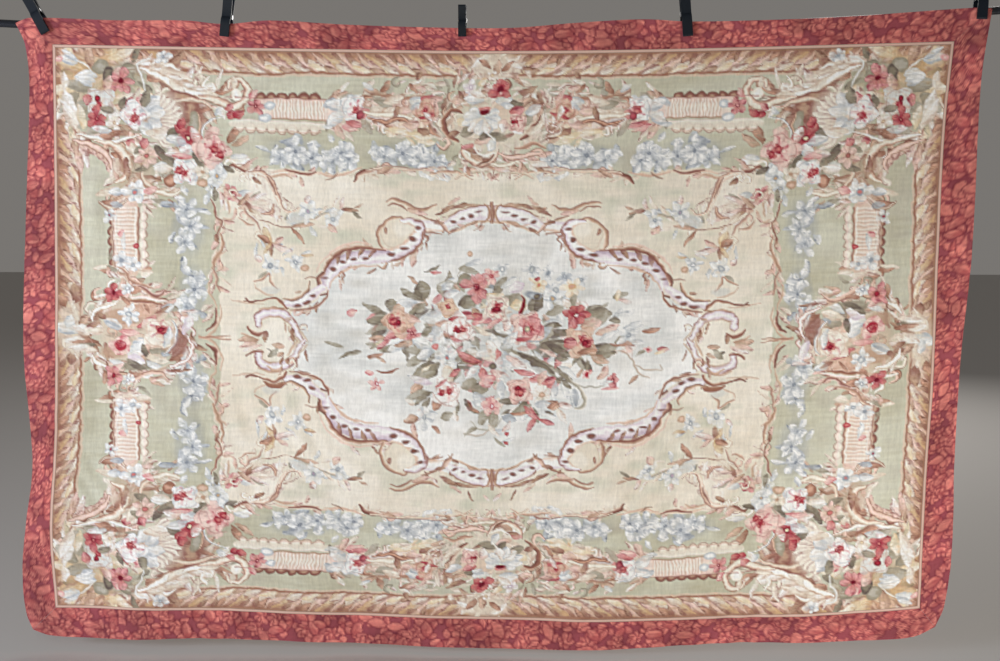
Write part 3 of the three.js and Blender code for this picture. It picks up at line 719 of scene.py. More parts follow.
# Shell, scrolls and bouquet of a corner
CORNER = [
    (wash, -1160, 720, 90, 80, 0, "gold", 0.6), (wash, -1060, 745, 60, 40, 0, "moss", 0.6),
    (wash, -1165, 660, 55, 70, 0, "stone", 0.45), (wash, -1040, 470, 60, 60, 0, "tan", 0.45),
    (wash, -880, 650, 50, 70, 20, "rosewood", 0.6), (-1165, 745, 95, 34, 150, "gold"),
    (-1150, 760, 90, 30, 110, "tan", -0.1), (-1130, 770, 80, 30, 60, "gold", -0.2),
    (-1110, 790, 90, 26, 20, "yellow"), (-1200, 700, 70, 34, 170, "yellow", 0.2),
    (-1190, 690, 80, 40, 215, "stone"), (-1150, 700, 85, 36, 160, "stone"),
    (-1150, 660, 70, 34, 190, "stone", 0.15), (-1140, 650, 80, 36, 220, "stone"),
    (-1200, 590, 115, 40, 112, "ivory", -0.12), (-1195, 600, 90, 30, 128, "ivory", -0.1),
    (-1180, 590, 70, 26, 95, "yellow"), (-1235, 700, 50, 26, 75, "ivory", 0.2),
    # Leaves that sweep right from the top
    (-1010, 772, 120, 34, -18, "peach", -0.12), (-985, 778, 130, 26, -22, "cream", 0.05),
    (acanthus, (-1015, 770, -970, 752, -920, 722, -870, 700, -805, 692), 24, 5, 1, "ivory", 1.6),
    (-930, 740, 60, 26, -50, "cream"), (dot, -900, 690, 42, 13, -12, "brown"),
    (dot, -872, 652, 22, 40, -20, "brown"), (dot, -858, 615, 16, 34, 10, "stone"),
    (stroke, (-925, 672, -880, 680, -835, 672, -800, 655), (3, 15, 12, 3), ("rust", "cream", "peach")),
    (stroke, (-850, 640, -840, 600, -860, 570), (3, 10, 3), ("tan", "peach", "rust")),
    # The shell
    (wash, -950, 630, 55, 70, 0, "cream", 0.9),
]
CORNER += [(-1003, 618, 112 - 14 * abs(turn) / 50, 24, 8 + turn, "shell", 0.0, 0.8, 0.6, 0.4, 0.6)
           for turn in range(-55, 56, 10)]
CORNER += [
    (stroke, (-845, 688, -792, 680, -745, 664, -712, 684, -702, 714, -722, 741, -752, 738, -758, 720),
     (6, 22, 26, 24, 20, 16, 10), ("rust", "cream", "ivory", "peach", "rosewood")),
    (-748, 715, 34, 20, 60, "cream", 0.4), (-790, 690, 50, 18, 160, "cream", 0.2),
    (dot, -735, 700, 16, 18, 0, "ivory"),
    (stroke, (-1000, 703, -1006, 735, -1022, 765, -1018, 786, -985, 795), (3, 5, 5, 4), ("pearl", "white")),
    (bloom, -952, 800, 22, 5, 10, "blue", "sky"),
    (stroke, (-838, 560, -836, 592, -814, 620, -775, 633), (3, 5, 5, 3), ("pearl", "white", "smoke")),
    (-800, 640, 34, 18, 30, "blue", 0.2), (-770, 655, 30, 20, 20, "coral", 0.2),
    (-765, 642, 34, 22, -5, "crimson"),
    # Bud, white tulip and stem in the very corner
    (-1190, 776, 62, 26, 168, "white", -0.1), (-1192, 780, 60, 18, 140, "blue"),
    (dot, -1248, 787, 12, 8, 20, "pink"),
    (stroke, (-1195, 785, -1170, 772, -1145, 748), (3, 4, 3), ("white", "pearl")),
    (-1140, 742, 62, 32, 175, "white", 0.15), (-1142, 725, 58, 26, 160, "white", 0.25),
    (-1150, 712, 40, 20, 150, "blue", 0.2), (dot, -1128, 768, 24, 20, 30, "stone", 0.4),
    (dot, -1108, 748, 14, 24, -20, "bark"),
    # Pink flower, peach rose, crimson and white roses
    (-1075, 735, 36, 34, 100, "pink", 0.0), (bloom, -1070, 732, 38, 6, 20, "coral", "claret", 0.2),
    (-1060, 690, 40, 20, 250, "bark"), (-1120, 700, 50, 26, 60, "peach"),
    (rose, -1128, 668, 46, 200, "pearl", "peach", "apricot", "rust"), (-1160, 690, 34, 24, 240, "coral", 0.2),
    (dot, -1137, 677, 9, 9, 0, "claret"), (-1120, 600, 55, 30, 190, "stone", 0.2),
    (-1090, 640, 44, 22, 150, "olive", 0.2), (bloom, -1140, 620, 34, 6, 30, "crimson", "coral", 0.16),
    (bloom, -1092, 614, 26, 5, 0, "ivory", "straw", 0.2), (-1050, 640, 50, 28, 75, "crimson"),
    (-1030, 660, 44, 26, 55, "pink"), (-1000, 650, 58, 40, 42, "blue"),
    (-995, 640, 54, 40, 15, "white", -0.1), (-995, 625, 46, 34, -25, "blue", -0.1),
    (-1010, 620, 54, 36, -60, "white"), (-1010, 660, 50, 30, 60, "olive", 0.2),
    (rose, -1033, 640, 44, 250, "white", "blush", "crimson", "smoke"), (heart, -1034, 628, 12),
    (-1000, 590, 60, 26, -10, "cream", 0.2), (-985, 575, 60, 24, 5, "ivory", 0.2),
    # Scrolls below the bouquet
    (-1070, 590, 80, 24, 195, "rust"), (-1100, 590, 60, 24, 180, "white", -0.1),
    (stroke, (-1200, 575, -1150, 566, -1105, 556, -1050, 572, -1010, 585), (4, 12, 14, 10, 3),
     ("rosewood", "cream", "white", "pearl")),
    (-1060, 560, 30, 20, 0, "coral", 0.0),
    (acanthus, (-1210, 560, -1165, 548, -1125, 530, -1108, 505, -1104, 485), 20, 5, -1, "peach", 1.7),
    (-1190, 540, 60, 22, -60, "blush", -0.2), (-1205, 545, 75, 22, -75, "peach", -0.1),
    (stroke, (-1150, 560, -1100, 552, -1068, 530, -1056, 495, -1066, 462, -1095, 446), (4, 16, 26, 28, 22, 8),
     ("rust", "peach", "ivory", "cream", "tan")),
    (-1060, 520, 70, 20, -92, "brown"), (-1045, 560, 60, 26, -55, "cream", -0.2),
    (stroke, (-1012, 500, -1014, 465, -1000, 440, -970, 425), (3, 12, 12, 4), ("rust", "cream", "peach")),
    (-1000, 545, 40, 20, 190, "olive", 0.2), (-1035, 480, 60, 22, 10, "olive", 0.2),
    (bloom, -998, 522, 36, 7, 0, "peach", "coral", 0.22), (-1010, 545, 30, 26, 60, "coral", 0.0),
    (-975, 555, 60, 24, -60, "bark"), (-960, 525, 55, 26, -40, "olive"), (-950, 500, 50, 30, -70, "stone"),
    (dot, -932, 452, 18, 20, 0, "rust", 0.4),
    (acanthus, (-1010, 430, -970, 420, -930, 412, -890, 428), 14, 4, 1, "cream", 1.6),
    (-900, 440, 34, 18, -70, "white"), (-985, 400, 60, 16, -15, "stone", -0.1),
    # Second bouquet
    (-900, 600, 50, 26, 210, "bark"), (-760, 560, 62, 26, 65, "rust", -0.2),
    (-750, 555, 62, 22, 20, "tan", 0.2), (bloom, -880, 572, 42, 6, 10, "crimson", "straw", 0.2, 0.85),
    (-905, 600, 34, 30, 60, "crimson"), (-860, 545, 50, 36, 190, "white"), (-885, 555, 60, 30, 155, "blue"),
    (-900, 530, 50, 26, 175, "blush"), (-870, 520, 60, 18, 170, "pink"),
    (-760, 500, 70, 14, -5, "rust", -0.15), (-762, 512, 66, 34, 12, "ivory", -0.1),
    (-756, 520, 50, 18, 14, "white", -0.1), (-800, 500, 50, 40, -70, "white"),
    (-790, 510, 50, 36, -110, "blue"), (rose, -812, 545, 54, 320, "blush", "pink", "crimson", "rosewood"),
    (heart, -786, 530, 17), (-850, 560, 46, 30, 110, "blush"), (-940, 500, 44, 20, 185, "white"),
    (-925, 490, 56, 26, 190, "ivory", -0.1), (rose, -888, 480, 42, 190, "white", "blush", "crimson", "smoke"),
    (heart, -908, 480, 14), (bloom, -840, 478, 22, 5, 20, "cream", "tan"),
    (bloom, -798, 468, 32, 5, 10, "white", "gold", 0.2), (bloom, -812, 436, 26, 5, 50, "white", "straw", 0.2),
    (dot, -842, 447, 15, 12, 0, "tan"), (-780, 500, 40, 16, -40, "bark", 0.2),
    (bloom, -755, 422, 26, 6, 0, "coral", "crimson", 0.2), (-735, 420, 40, 22, -5, "blue"),
    (-820, 420, 40, 20, 250, "blue"),
]


def scallop(x, z, r, dyes, flips=EVERY):
    """A round with an inner round, half hidden later by the rail that it stands on."""
    tip, base, shade = DYES[dyes]
    dot(x, z, r, r, 0, (base, base, shade), 0.8, flips=flips)
    dot(x, z, r * 0.55, r * 0.55, 0, (tip, tip, base), 0.3, flips=flips)


def pilaster(x0, x1, z0, z1):
    """Flutes between two posts, with half-round scallops outside each post, for the left side."""
    middle = (x0 + x1) / 2
    rows = [(scallop, x0 + 2, z, 15, "brown") for z in np.arange(z0 + 8, z1 - 8, 30)]
    rows += [(scallop, x1 + 16, z, 13, "shell") for z in np.arange(z0 + 8, z1 - 8, 27)]
    wide = x1 - x0
    rows.append((stroke, [(middle, z0), (middle, z1)], (wide, wide), ("peach", "blush", "ivory"), 0.75, 2))
    for z in np.arange(z0, z1, 11.5):
        rows.append((stroke, [(x0 + 8, z), (x1 - 8, z)], (3, 3), ("peach", "tan"), 0.6, 2))
        rows.append((stroke, [(x0 + 8, z + 5), (x1 - 8, z + 5)], (5, 5), ("white", "ivory"), 0.6, 2))
    for x, tones in ((x0 + 3, ("rosewood", "tan")), (x0 + 11, ("white", "peach")),
                     (x1 - 8, ("white", "ivory")), (x1, ("rosewood", "rust"))):
        rows.append((stroke, [(x, z0), (x, z1)], (4.5, 4.5), tones, 0.85, 2))
    rows.append((stroke, [(x1 + 13, z0), (x1 + 13, z1)], (16, 16), ("blush", "ivory", "cream"), 0.7, 2))
    return rows


# Pilaster of fluted panels down the left, with its flowers
LEFT = pilaster(-1102, -1022, 205, 372) + [
    (-1150, 408, 70, 22, 10, "cream", 0.15), (-1140, 385, 50, 22, -20, "rust", 0.5),
    (stroke, (-1140, 388, -1115, 370, -1085, 374, -1058, 398), (4, 13, 12, 4), ("rust", "cream", "rosewood")),
    (-1100, 395, 44, 14, 10, "tan", 0.2), (-1070, 415, 46, 24, 170, "blue"),
    (bloom, -1036, 418, 36, 6, 0, "white", "coral", 0.26, 0.85), (-1010, 420, 40, 22, 10, "pink"),
    (-1070, 375, 40, 20, 160, "smoke", 0.2), (bloom, -1108, 348, 22, 5, 0, "white", "crimson", 0.25),
    (-1085, 292, 26, 16, 20, "pink"), (-1060, 300, 50, 16, -110, "white", 0.2),
    (dot, -1026, 262, 9, 7, 0, "crimson"), (bloom, -1075, 222, 28, 5, 20, "blue", "smoke", 0.25),
    (bloom, -1040, 210, 24, 5, 0, "white", "sky", 0.25), (-1100, 205, 60, 20, 200, "cream", -0.2),
    (-1095, 190, 50, 16, 190, "rust", -0.2), (-1030, 195, 50, 18, -20, "cream", 0.2),
    (spray, -876, 318, 44, 84, 34, 5), (spray, -868, 130, 36, 80, 26, 6),
]

# Balustrade, scallops and flowers along the top
TOP = [(scallop, x, 692, 17, "brown") for x in np.arange(-668, -486, 31)]
TOP += [(scallop, x, 606, 14, "shell") for x in np.arange(-725, -490, 30)]
TOP += [(stroke, [(-655, 664), (-480, 664)], (54, 54), ("blush", "ivory", "blush"), 0.9, 2),
        (stroke, [(-745, 617), (-485, 617)], (20, 20), ("cream", "ivory"), 0.85, 2)]
for x in np.arange(-632, -484, 9.6):
    TOP.append((stroke, [(x, 638), (x, 688)], (3, 3), ("tan", "peach"), 0.75, 2))
    TOP.append((stroke, [(x + 4.4, 640), (x + 4.4, 686)], (4, 4), ("white", "ivory"), 0.75, 2))
TOP += [(stroke, [(-740, 692), (-600, 692), (-480, 692)], (4, 4), ("blush", "rosewood"), 0.9, 4),
        (stroke, [(-640, 636), (-480, 636)], (3.5, 3.5), ("rust", "tan"), 0.9, 4),
        (stroke, [(-740, 628), (-600, 628), (-490, 626)], (4, 4), ("white", "blush"), 0.7, 4),
        (stroke, [(-740, 600), (-600, 600), (-500, 600)], (3.5, 3.5), ("tan", "blush"), 0.8, 4)]
TOP += [
    (bloom, -680, 668, 26, 6, 20, "coral", "pink", 0.2), (-700, 690, 34, 18, 40, "pink"),
    (dot, -640, 672, 15, 11, 0, "blue", 0.3), (dot, -655, 636, 18, 12, 0, "blue", 0.3),
    (-745, 640, 34, 24, 10, "crimson"),
    # Flowers at the end of the balustrade
    (wash, -430, 655, 60, 50, 0, "blush", 0.4), (-470, 640, 40, 16, 235, "bark", 0.2),
    (-455, 690, 40, 22, 190, "smoke", 0.3), (-440, 620, 56, 26, -10, "pink"),
    (-455, 625, 50, 24, -70, "peach"), (-480, 600, 34, 18, -60, "white"), (-500, 620, 36, 14, -10, "white"),
    (-425, 665, 60, 34, 155, "white"), (-430, 655, 62, 36, 205, "white"), (-400, 700, 44, 24, 200, "blue"),
    (rose, -405, 668, 40, 300, "white", "blush", "crimson", "smoke"), (-395, 640, 40, 30, 30, "crimson"),
    (heart, -398, 662, 14), (dot, -386, 648, 11, 14, 0, "claret"), (-430, 632, 60, 18, -20, "coral"),
    (-380, 640, 60, 22, -60, "stone"), (-370, 640, 70, 24, -5, "white", -0.15),
    # Acanthus and flowers towards the middle
    (wash, -280, 655, 110, 50, 0, "blush", 0.45),
    (stroke, (-385, 700, -330, 706, -270, 698, -200, 704, -150, 700), (3, 6, 7, 6, 3), ("rust", "tan"), 0.9),
    (-330, 705, 50, 20, 150, "tan", 0.2), (-350, 718, 34, 16, 140, "white"),
    (-330, 714, 40, 20, 40, "rust", 0.2),
    (acanthus, (-375, 655, -330, 650, -285, 650, -235, 640), 18, 4, 1, "cream", 1.7),
    (acanthus, (-360, 640, -310, 628, -270, 640, -230, 625), 13, 4, -1, "rust", 1.5),
    (-345, 690, 56, 24, -20, "stone"), (-320, 685, 60, 26, 10, "cream"), (-280, 670, 46, 24, -15, "peach"),
    (-290, 640, 40, 20, 60, "brown", 0.2), (-250, 690, 50, 26, 0, "white"), (-240, 670, 40, 24, 15, "blue"),
    (-260, 625, 50, 26, -10, "peach", 0.2), (-300, 610, 56, 18, -10, "yellow"),
    (-240, 600, 70, 22, -15, "yellow"), (-250, 740, 36, 14, -60, "rust", 0.3),
    (-240, 735, 40, 20, -20, "peach"), (-215, 700, 50, 28, -10, "coral"), (-200, 690, 50, 30, 0, "peach"),
    (rose, -196, 660, 34, 60, "peach", "coral", "rust", "rust"), (-215, 645, 60, 12, 10, "crimson"),
    (-220, 615, 44, 22, -30, "brown", 0.2), (-185, 630, 50, 18, -60, "rust", 0.2),
    (-170, 680, 40, 20, 10, "stone"), (spray, -565, 538, 88, 40, 46, 7), (spray, -440, 530, 40, 34, 16, 8),
    (spray, -260, 532, 92, 38, 44, 9), (spray, -160, 512, 34, 24, 12, 10),
]

draw(UNDER)
draw(CORNER)
draw(LEFT)
draw(TOP)

# Ribbon round the medallion: pale bands with brown beads between brown leaf edges
RIBBON = [
    # Top arch
    (stroke, (20, 378, -30, 377, -70, 371, -105, 356, -135, 338), (42, 44, 40, 32, 18),
     ("lavender", "white", "white", "lavender")),
    (stroke, (20, 352, -30, 350, -65, 342, -95, 328, -128, 316), (4, 6, 8, 7, 3), ("tan", "peach", "cream"),
     0.9),
    (-165, 366, 66, 13, 24, "brown"), (-120, 384, 56, 12, 26, "brown", -0.1),
    (-85, 398, 60, 12, 6, "tan", -0.1), (-130, 396, 44, 10, 30, "peach"),
    (stroke, (-128, 362, -80, 388, -30, 398, 0, 396), (3, 4, 5, 4), ("rosewood", "tan"), 0.9),
    (stroke, (-26, 404, -12, 392, -8, 372, -16, 352, -30, 346), (3, 7, 9, 7, 3), ("rust", "tan", "peach")),
    (stroke, (-2, 408, -2, 380, -2, 350), (5, 9, 4), ("rosewood", "tan")),
    (-40, 352, 44, 10, 190, "tan", 0.2), (-100, 332, 40, 9, 205, "brown", 0.2),
    # Link and its twist
    (stroke, (-205, 335, -180, 334, -150, 330), (30, 32, 20), ("peach", "white", "white", "lavender")),
    (stroke, (-205, 318, -180, 316, -150, 312), (3, 4, 3), ("rosewood", "tan")),
    (stroke, (-160, 352, -145, 335, -122, 316), (6, 12, 5), ("rosewood", "peach", "blush"), 0.9),
    (-178, 350, 36, 12, -25, "brown", 0.2),
    (stroke, (-215, 364, -195, 358, -175, 352), (4, 5, 3), ("tan", "rosewood")),
    # Leaf arc above the link
    (stroke, (-305, 406, -285, 410, -255, 402, -225, 386, -195, 384, -165, 396), (4, 8, 10, 11, 9, 4),
     ("peach", "tan", "rosewood")),
    (stroke, (-302, 394, -285, 399, -262, 392, -245, 380), (3, 6, 6, 3), ("rosewood", "tan")),
    (-245, 385, 60, 16, -22, "peach"),
    # Scroll and its cup
    (dot, -268, 316, 48, 46, 0, ("cream", "cream", "tan"), 0.4), (wash, -255, 330, 26, 26, 0, "ivory", 0.7),
    (stroke, (-312, 272, -326, 296, -322, 328, -300, 352, -268, 362, -255, 356), (4, 9, 10, 9, 9, 4),
     ("peach", "tan", "rosewood")),
    (dot, -303, 326, 5, 9, 10, "brown"),
    (stroke, (-262, 352, -235, 348, -214, 336, -212, 312, -232, 282, -262, 262, -300, 254, -340, 256),
     (8, 22, 34, 38, 40, 38, 36, 36), ("peach", "white", "white", "lavender", "rosewood")),
    (stroke, (-200, 318, -206, 292, -226, 262, -256, 244, -296, 234), (4, 6, 7, 5, 3), ("rosewood", "tan")),
    (-222, 262, 44, 18, -110, "peach", 0.2),
    # Long band to the side with its leaf edge
    (stroke, (-300, 252, -350, 248, -400, 244, -445, 222, -474, 188, -478, 160), (34, 40, 40, 38, 34, 26),
     ("lilac", "lavender", "white", "lavender")),
    (-330, 270, 34, 13, 205, "brown", 0.4), (-362, 274, 34, 14, 210, "brown", 0.45),
    (-400, 270, 36, 14, 218, "brown", 0.45), (-436, 254, 32, 13, 228, "brown", 0.4),
    (stroke, (-305, 270, -350, 275, -400, 275, -442, 258, -472, 226, -488, 190), (5, 9, 13, 15, 13, 6),
     ("blush", "tan", "rosewood", "rosewood")),
    (stroke, (-345, 284, -400, 288, -450, 268, -488, 234, -504, 200), (4, 7, 8, 7, 3), ("blush", "peach"),
     0.8),
    (stroke, (-330, 222, -385, 219, -430, 203, -458, 176, -466, 156), (3, 5, 7, 6, 3), ("apricot", "peach"),
     0.8),
    (stroke, (-486, 196, -500, 178, -496, 160), (12, 16, 8), ("umber", "rosewood", "peach"), 0.9),
    (stroke, (-506, 182, -526, 184, -540, 180), (4, 4, 3), ("rosewood", "tan"), 0.8),
    # Side end of the band
    (stroke, (-488, 152, -515, 134, -550, 112, -590, 108), (26, 34, 36, 24),
     ("lavender", "white", "lavender", "cream")),
    (stroke, (-528, 172, -530, 150, -552, 128, -580, 120, -605, 122), (4, 8, 9, 8, 4),
     ("peach", "tan", "umber")),
    (stroke, (-472, 148, -478, 126, -500, 104, -530, 94, -558, 90, -585, 88), (4, 9, 8, 6, 7, 3),
     ("tan", "rosewood", "peach")),
    (stroke, (-492, 132, -478, 138), (5, 5), ("umber", "rosewood")),
    # Thin stem from the band to the frame
    (stroke, (-595, 92, -605, 108, -625, 120, -650, 118, -680, 110, -720, 108), (7, 10, 8, 6, 4, 3),
     ("rosewood", "rust", "peach")),
    (stroke, (-715, 116, -700, 106, -675, 112), (4, 6, 3), ("umber", "rosewood")),
    (stroke, (-755, 112, -735, 108, -700, 102, -660, 104), (3, 4, 4, 2), ("tan", "peach"), 0.8),
]
# Beads: x, z, half width, half height, lean
for x, z, wide, tall, lean in [
    (-62, 367, 9, 5, -5), (-88, 357, 8, 4, 0), (-115, 348, 9, 5, -15), (-38, 378, 10, 3, 10),
    (-215, 329, 9, 5, -10), (-230, 298, 11, 7, -5), (-252, 272, 11, 6, 0), (-288, 257, 12, 6, 0),
    (-360, 243, 9, 5, 0), (-397, 241, 9, 5, 0), (-430, 231, 10, 5, 0), (-459, 210, 10, 6, -5),
    (-480, 183, 9, 3, 0), (-518, 131, 9, 5, 5), (-534, 111, 11, 6, 0), (-562, 102, 13, 6, 0),
]:
    RIBBON.append((dot, x, z, wide, tall, lean, ("rosewood", "umber", "lilac"), 0.35))

# Frame between sage and cream: thin leaf arcs along the top, and down the side
FRAME = [
    (foliage, (-760, 495, -600, 480, -400, 484, -200, 498, 0, 496), 16, 34, 55, ("cream", "peach", "shell"),
     42),
    (foliage, (-805, 410, -792, 300, -800, 180, -805, 60), 16, 24, 56, ("cream", "peach", "shell"), 40),
    (stroke, (-752, 503, -725, 488, -695, 482, -668, 492), (5, 11, 11, 5), ("rosewood", "rosewood", "peach")),
    (stroke, (-700, 484, -660, 470, -630, 470, -600, 478, -574, 468), (3, 6, 7, 6, 3), ("tan", "peach")),
    (stroke, (-650, 476, -610, 488, -570, 490, -530, 488, -495, 490), (4, 8, 10, 9, 4), ("peach", "cream")),
    (stroke, (-596, 490, -565, 486, -535, 482, -508, 490), (4, 9, 9, 4), ("peach", "rosewood", "rosewood")),
    (stroke, (-500, 484, -460, 478, -420, 484, -380, 496), (3, 7, 6, 3), ("apricot", "peach"), 0.85),
    (stroke, (-480, 468, -462, 474, -450, 486), (3, 5, 3), ("umber", "tan"), 0.8),
    (stroke, (-400, 460, -385, 478, -360, 488, -320, 494), (6, 15, 10, 4), ("peach", "rosewood", "umber")),
    (stroke, (-365, 490, -310, 498, -250, 496, -200, 498, -170, 506), (5, 10, 9, 8, 4),
     ("peach", "cream", "rosewood")),
    (-290, 498, 50, 14, 190, "tan", 0.2),
    (stroke, (-180, 484, -130, 492, -90, 486, -60, 470), (4, 8, 8, 3), ("cream", "peach", "rust")),
    (stroke, (-110, 474, -85, 488, -50, 496, 0, 500), (5, 9, 8, 5), ("tan", "cream", "peach")),
    (stroke, (-60, 510, -30, 506, 0, 502), (3, 7, 5), ("peach", "rosewood"), 0.8),
    (stroke, (-816, 402, -806, 380, -800, 352, -786, 335, -792, 310, -800, 290, -792, 268),
     (4, 9, 8, 7, 7, 6, 3), ("tan", "rosewood", "cream")),
    (-806, 395, 40, 16, 75, "olive", 0.2),
    (stroke, (-780, 346, -760, 342, -745, 352), (3, 6, 3), ("tan", "peach"), 0.8),
    (stroke, (-790, 300, -782, 278, -786, 252, -802, 228, -812, 200), (4, 8, 8, 9, 5),
     ("peach", "tan", "rust")),
    (-800, 300, 26, 12, 260, "brown", 0.2),
    (stroke, (-772, 250, -790, 238, -802, 214), (3, 7, 4), ("tan", "peach"), 0.9),
    (stroke, (-808, 205, -800, 180, -798, 150, -790, 132), (4, 7, 8, 3), ("peach", "rosewood"), 0.85),
    (stroke, (-820, 160, -818, 130, -806, 108, -800, 84), (3, 6, 6, 3), ("peach", "tan"), 0.85),
    (stroke, (-802, 84, -800, 60, -804, 38, -828, 18), (4, 9, 11, 4), ("umber", "rosewood", "peach")),
    (stroke, (-790, 96, -784, 70, -794, 40, -815, 10, -850, -4), (3, 6, 6, 8, 4), ("peach", "tan"), 0.85),
    (stroke, (-850, 0, -820, 2, -790, -3, -760, -5), (4, 6, 5, 3), ("rust", "peach")),
]

# Corner scroll, branches and flowers on the cream between frame and medallion
SPANDREL = [
    (foliage, (-780, 440, -740, 390, -690, 360, -640, 350), 50, 24, 50, ("cream", "ivory", "blush", "peach"),
     44),
    (foliage, (-730, 480, -670, 470, -630, 430, -610, 380), 44, 26, 51, ("shell", "ivory", "peach", "ivory"),
     44),
    (foliage, (-680, 400, -660, 370), 60, 12, 52, ("shell", "brown", "peach"), 38),
    (foliage, (-600, 335, -520, 350, -440, 372), 40, 18, 53, ("blue", "ivory", "stone", "mist", "cream"), 34),
    (foliage, (-670, 300, -640, 250, -600, 220), 50, 16, 54, ("blue", "cream", "ivory", "gold", "mist"), 34),
    (wash, -655, 415, 44, 52, 0, "ivory", 0.7), (-690, 470, 34, 16, -60, "brown", 0.3),
    (stroke, (-700, 482, -665, 478, -640, 460, -625, 430, -614, 400, -600, 376, -575, 370, -556, 384),
     (6, 14, 17, 17, 15, 9, 6, 3), ("peach", "ivory", "peach", "rosewood")),
    (stroke, (-650, 470, -632, 444, -622, 416), (3, 6, 3), ("rosewood", "rust"), 0.9),
    (-740, 385, 46, 18, 25, "tan", 0.2), (-735, 375, 46, 18, 5, "peach", 0.2),
    (-700, 405, 40, 14, 20, "stone", 0.2), (-715, 395, 50, 18, -60, "brown", 0.2),
    (-705, 395, 60, 14, 35, "blush", -0.2), (-702, 388, 60, 14, 12, "cream", -0.2),
    (-700, 380, 60, 14, -12, "blush", -0.2), (-698, 372, 54, 14, -36, "cream", -0.2),
    (stroke, (-665, 358, -645, 360, -632, 372, -630, 388), (3, 9, 10, 4), ("rust", "peach", "rosewood")),
    (stroke, (-722, 372, -705, 350, -685, 335, -672, 310), (3, 7, 7, 3), ("peach", "rosewood"), 0.85),
    (stroke, (-735, 345, -715, 328, -695, 326), (3, 8, 4), ("peach", "rust"), 0.85),
    (stroke, (-764, 395, -762, 375, -766, 358), (5, 7, 4), ("tan", "peach"), 0.85),
    (stroke, (-672, 340, -640, 334, -605, 326, -575, 328), (3, 5, 4, 3), ("tan", "rosewood", "cream"), 0.9),
    (stroke, (-580, 326, -550, 340, -515, 356, -480, 372, -452, 376), (3, 5, 4, 5, 3),
     ("tan", "stone", "olive"), 0.9),
    (-580, 328, 62, 13, -42, "rust", -0.1), (-578, 326, 70, 14, 22, "tan", -0.2),
    (wash, -565, 352, 30, 16, 30, "mist", 0.7), (bloom, -528, 376, 32, 6, 10, "white", "lilac", 0.2),
    (-535, 398, 26, 20, 60, "blush", 0.2), (bloom, -460, 356, 26, 6, 30, "white", "sky", 0.25),
    (-470, 342, 34, 22, -60, "peach", 0.2), (-448, 372, 26, 14, 20, "white"),
    (-440, 385, 34, 14, 60, "blush", 0.2), (-436, 384, 50, 12, -2, "brown", -0.1),
    (-405, 378, 36, 9, -42, "olive"), (-400, 388, 30, 8, 8, "tan"), (-640, 275, 50, 22, 105, "gold", 0.2),
    (-640, 272, 44, 20, 130, "rust", 0.3), (-636, 276, 40, 16, 222, "gold", 0.2),
    (-634, 278, 40, 12, 260, "brown"), (-636, 276, 66, 18, -24, "blush"),
    (-634, 276, 40, 12, 18, "peach", 0.2), (bloom, -640, 214, 30, 6, 10, "white", "mist", 0.3),
    (-670, 220, 26, 18, 120, "blush"), (-650, 195, 34, 12, 200, "stone", 0.2),
    (bloom, -566, 226, 26, 6, 40, "blue", "white", 0.25), (-556, 240, 40, 16, 30, "white"),
    (dot, -538, 212, 12, 10, 0, "tan"), (-550, 250, 36, 10, -10, "gold", 0.2),
    (stroke, (-688, 168, -665, 178, -645, 190, -640, 168, -622, 150), (4, 7, 6, 6, 3), ("rust", "peach"),
     0.9),
    (stroke, (-688, 160, -680, 146, -655, 134, -630, 130), (3, 5, 5, 3), ("tan", "peach"), 0.8),
    (wash, -640, 146, 26, 12, 0, "mist", 0.5),
]

# Side cartouche: a lavender clasp that opens towards the frame
CLASP = [
    (wash, -622, 12, 40, 50, 0, "ivory", 0.8),
    (stroke, (-678, 42, -676, 66, -640, 80, -605, 74, -575, 48, -562, 16, -545, -8),
     (22, 28, 30, 28, 24, 18, 8), ("tan", "lavender", "white", "lavender", "rosewood")),
    (stroke, (-675, 86, -640, 94, -605, 88), (4, 6, 3), ("peach", "tan"), 0.85),
    (stroke, (-592, 40, -584, 24, -566, 0), (4, 7, 3), ("tan", "peach"), 0.85),
    (stroke, (-568, 48, -552, 22, -535, 4), (4, 7, 4), ("cream", "tan"), 0.85),
]
CLASP_MIDDLE = [
    (stroke, (-710, 34, -695, 18, -674, 14, -658, 22), (6, 12, 12, 4), ("rust", "rosewood", "peach")),
    (-655, 26, 34, 14, 250, "brown", 0.2),
    (stroke, (-726, 14, -705, 4, -680, 0), (4, 8, 4), ("tan", "peach")), (-680, -2, 60, 22, 186, "tan", -0.1),
    (-682, -10, 56, 16, 192, "peach"), (-668, -16, 60, 14, 196, "blush"),
    (stroke, (-712, -50, -692, -38, -668, -40), (5, 8, 4), ("rosewood", "rust")),
    (-640, -14, 36, 18, -10, "tan"), (-655, -28, 22, 5, -25, "bark", 0.0),
    (-650, -50, 40, 20, 30, "stone", 0.2), (dot, -582, -56, 14, 9, 20, "peach"),
    (stroke, (-652, -78, -630, -90, -606, -82), (4, 9, 4), ("tan", "peach")),
    (stroke, (-660, -124, -640, -132, -610, -130, -588, -112), (5, 15, 15, 6),
     ("rosewood", "rust", "rust", "tan")),
]

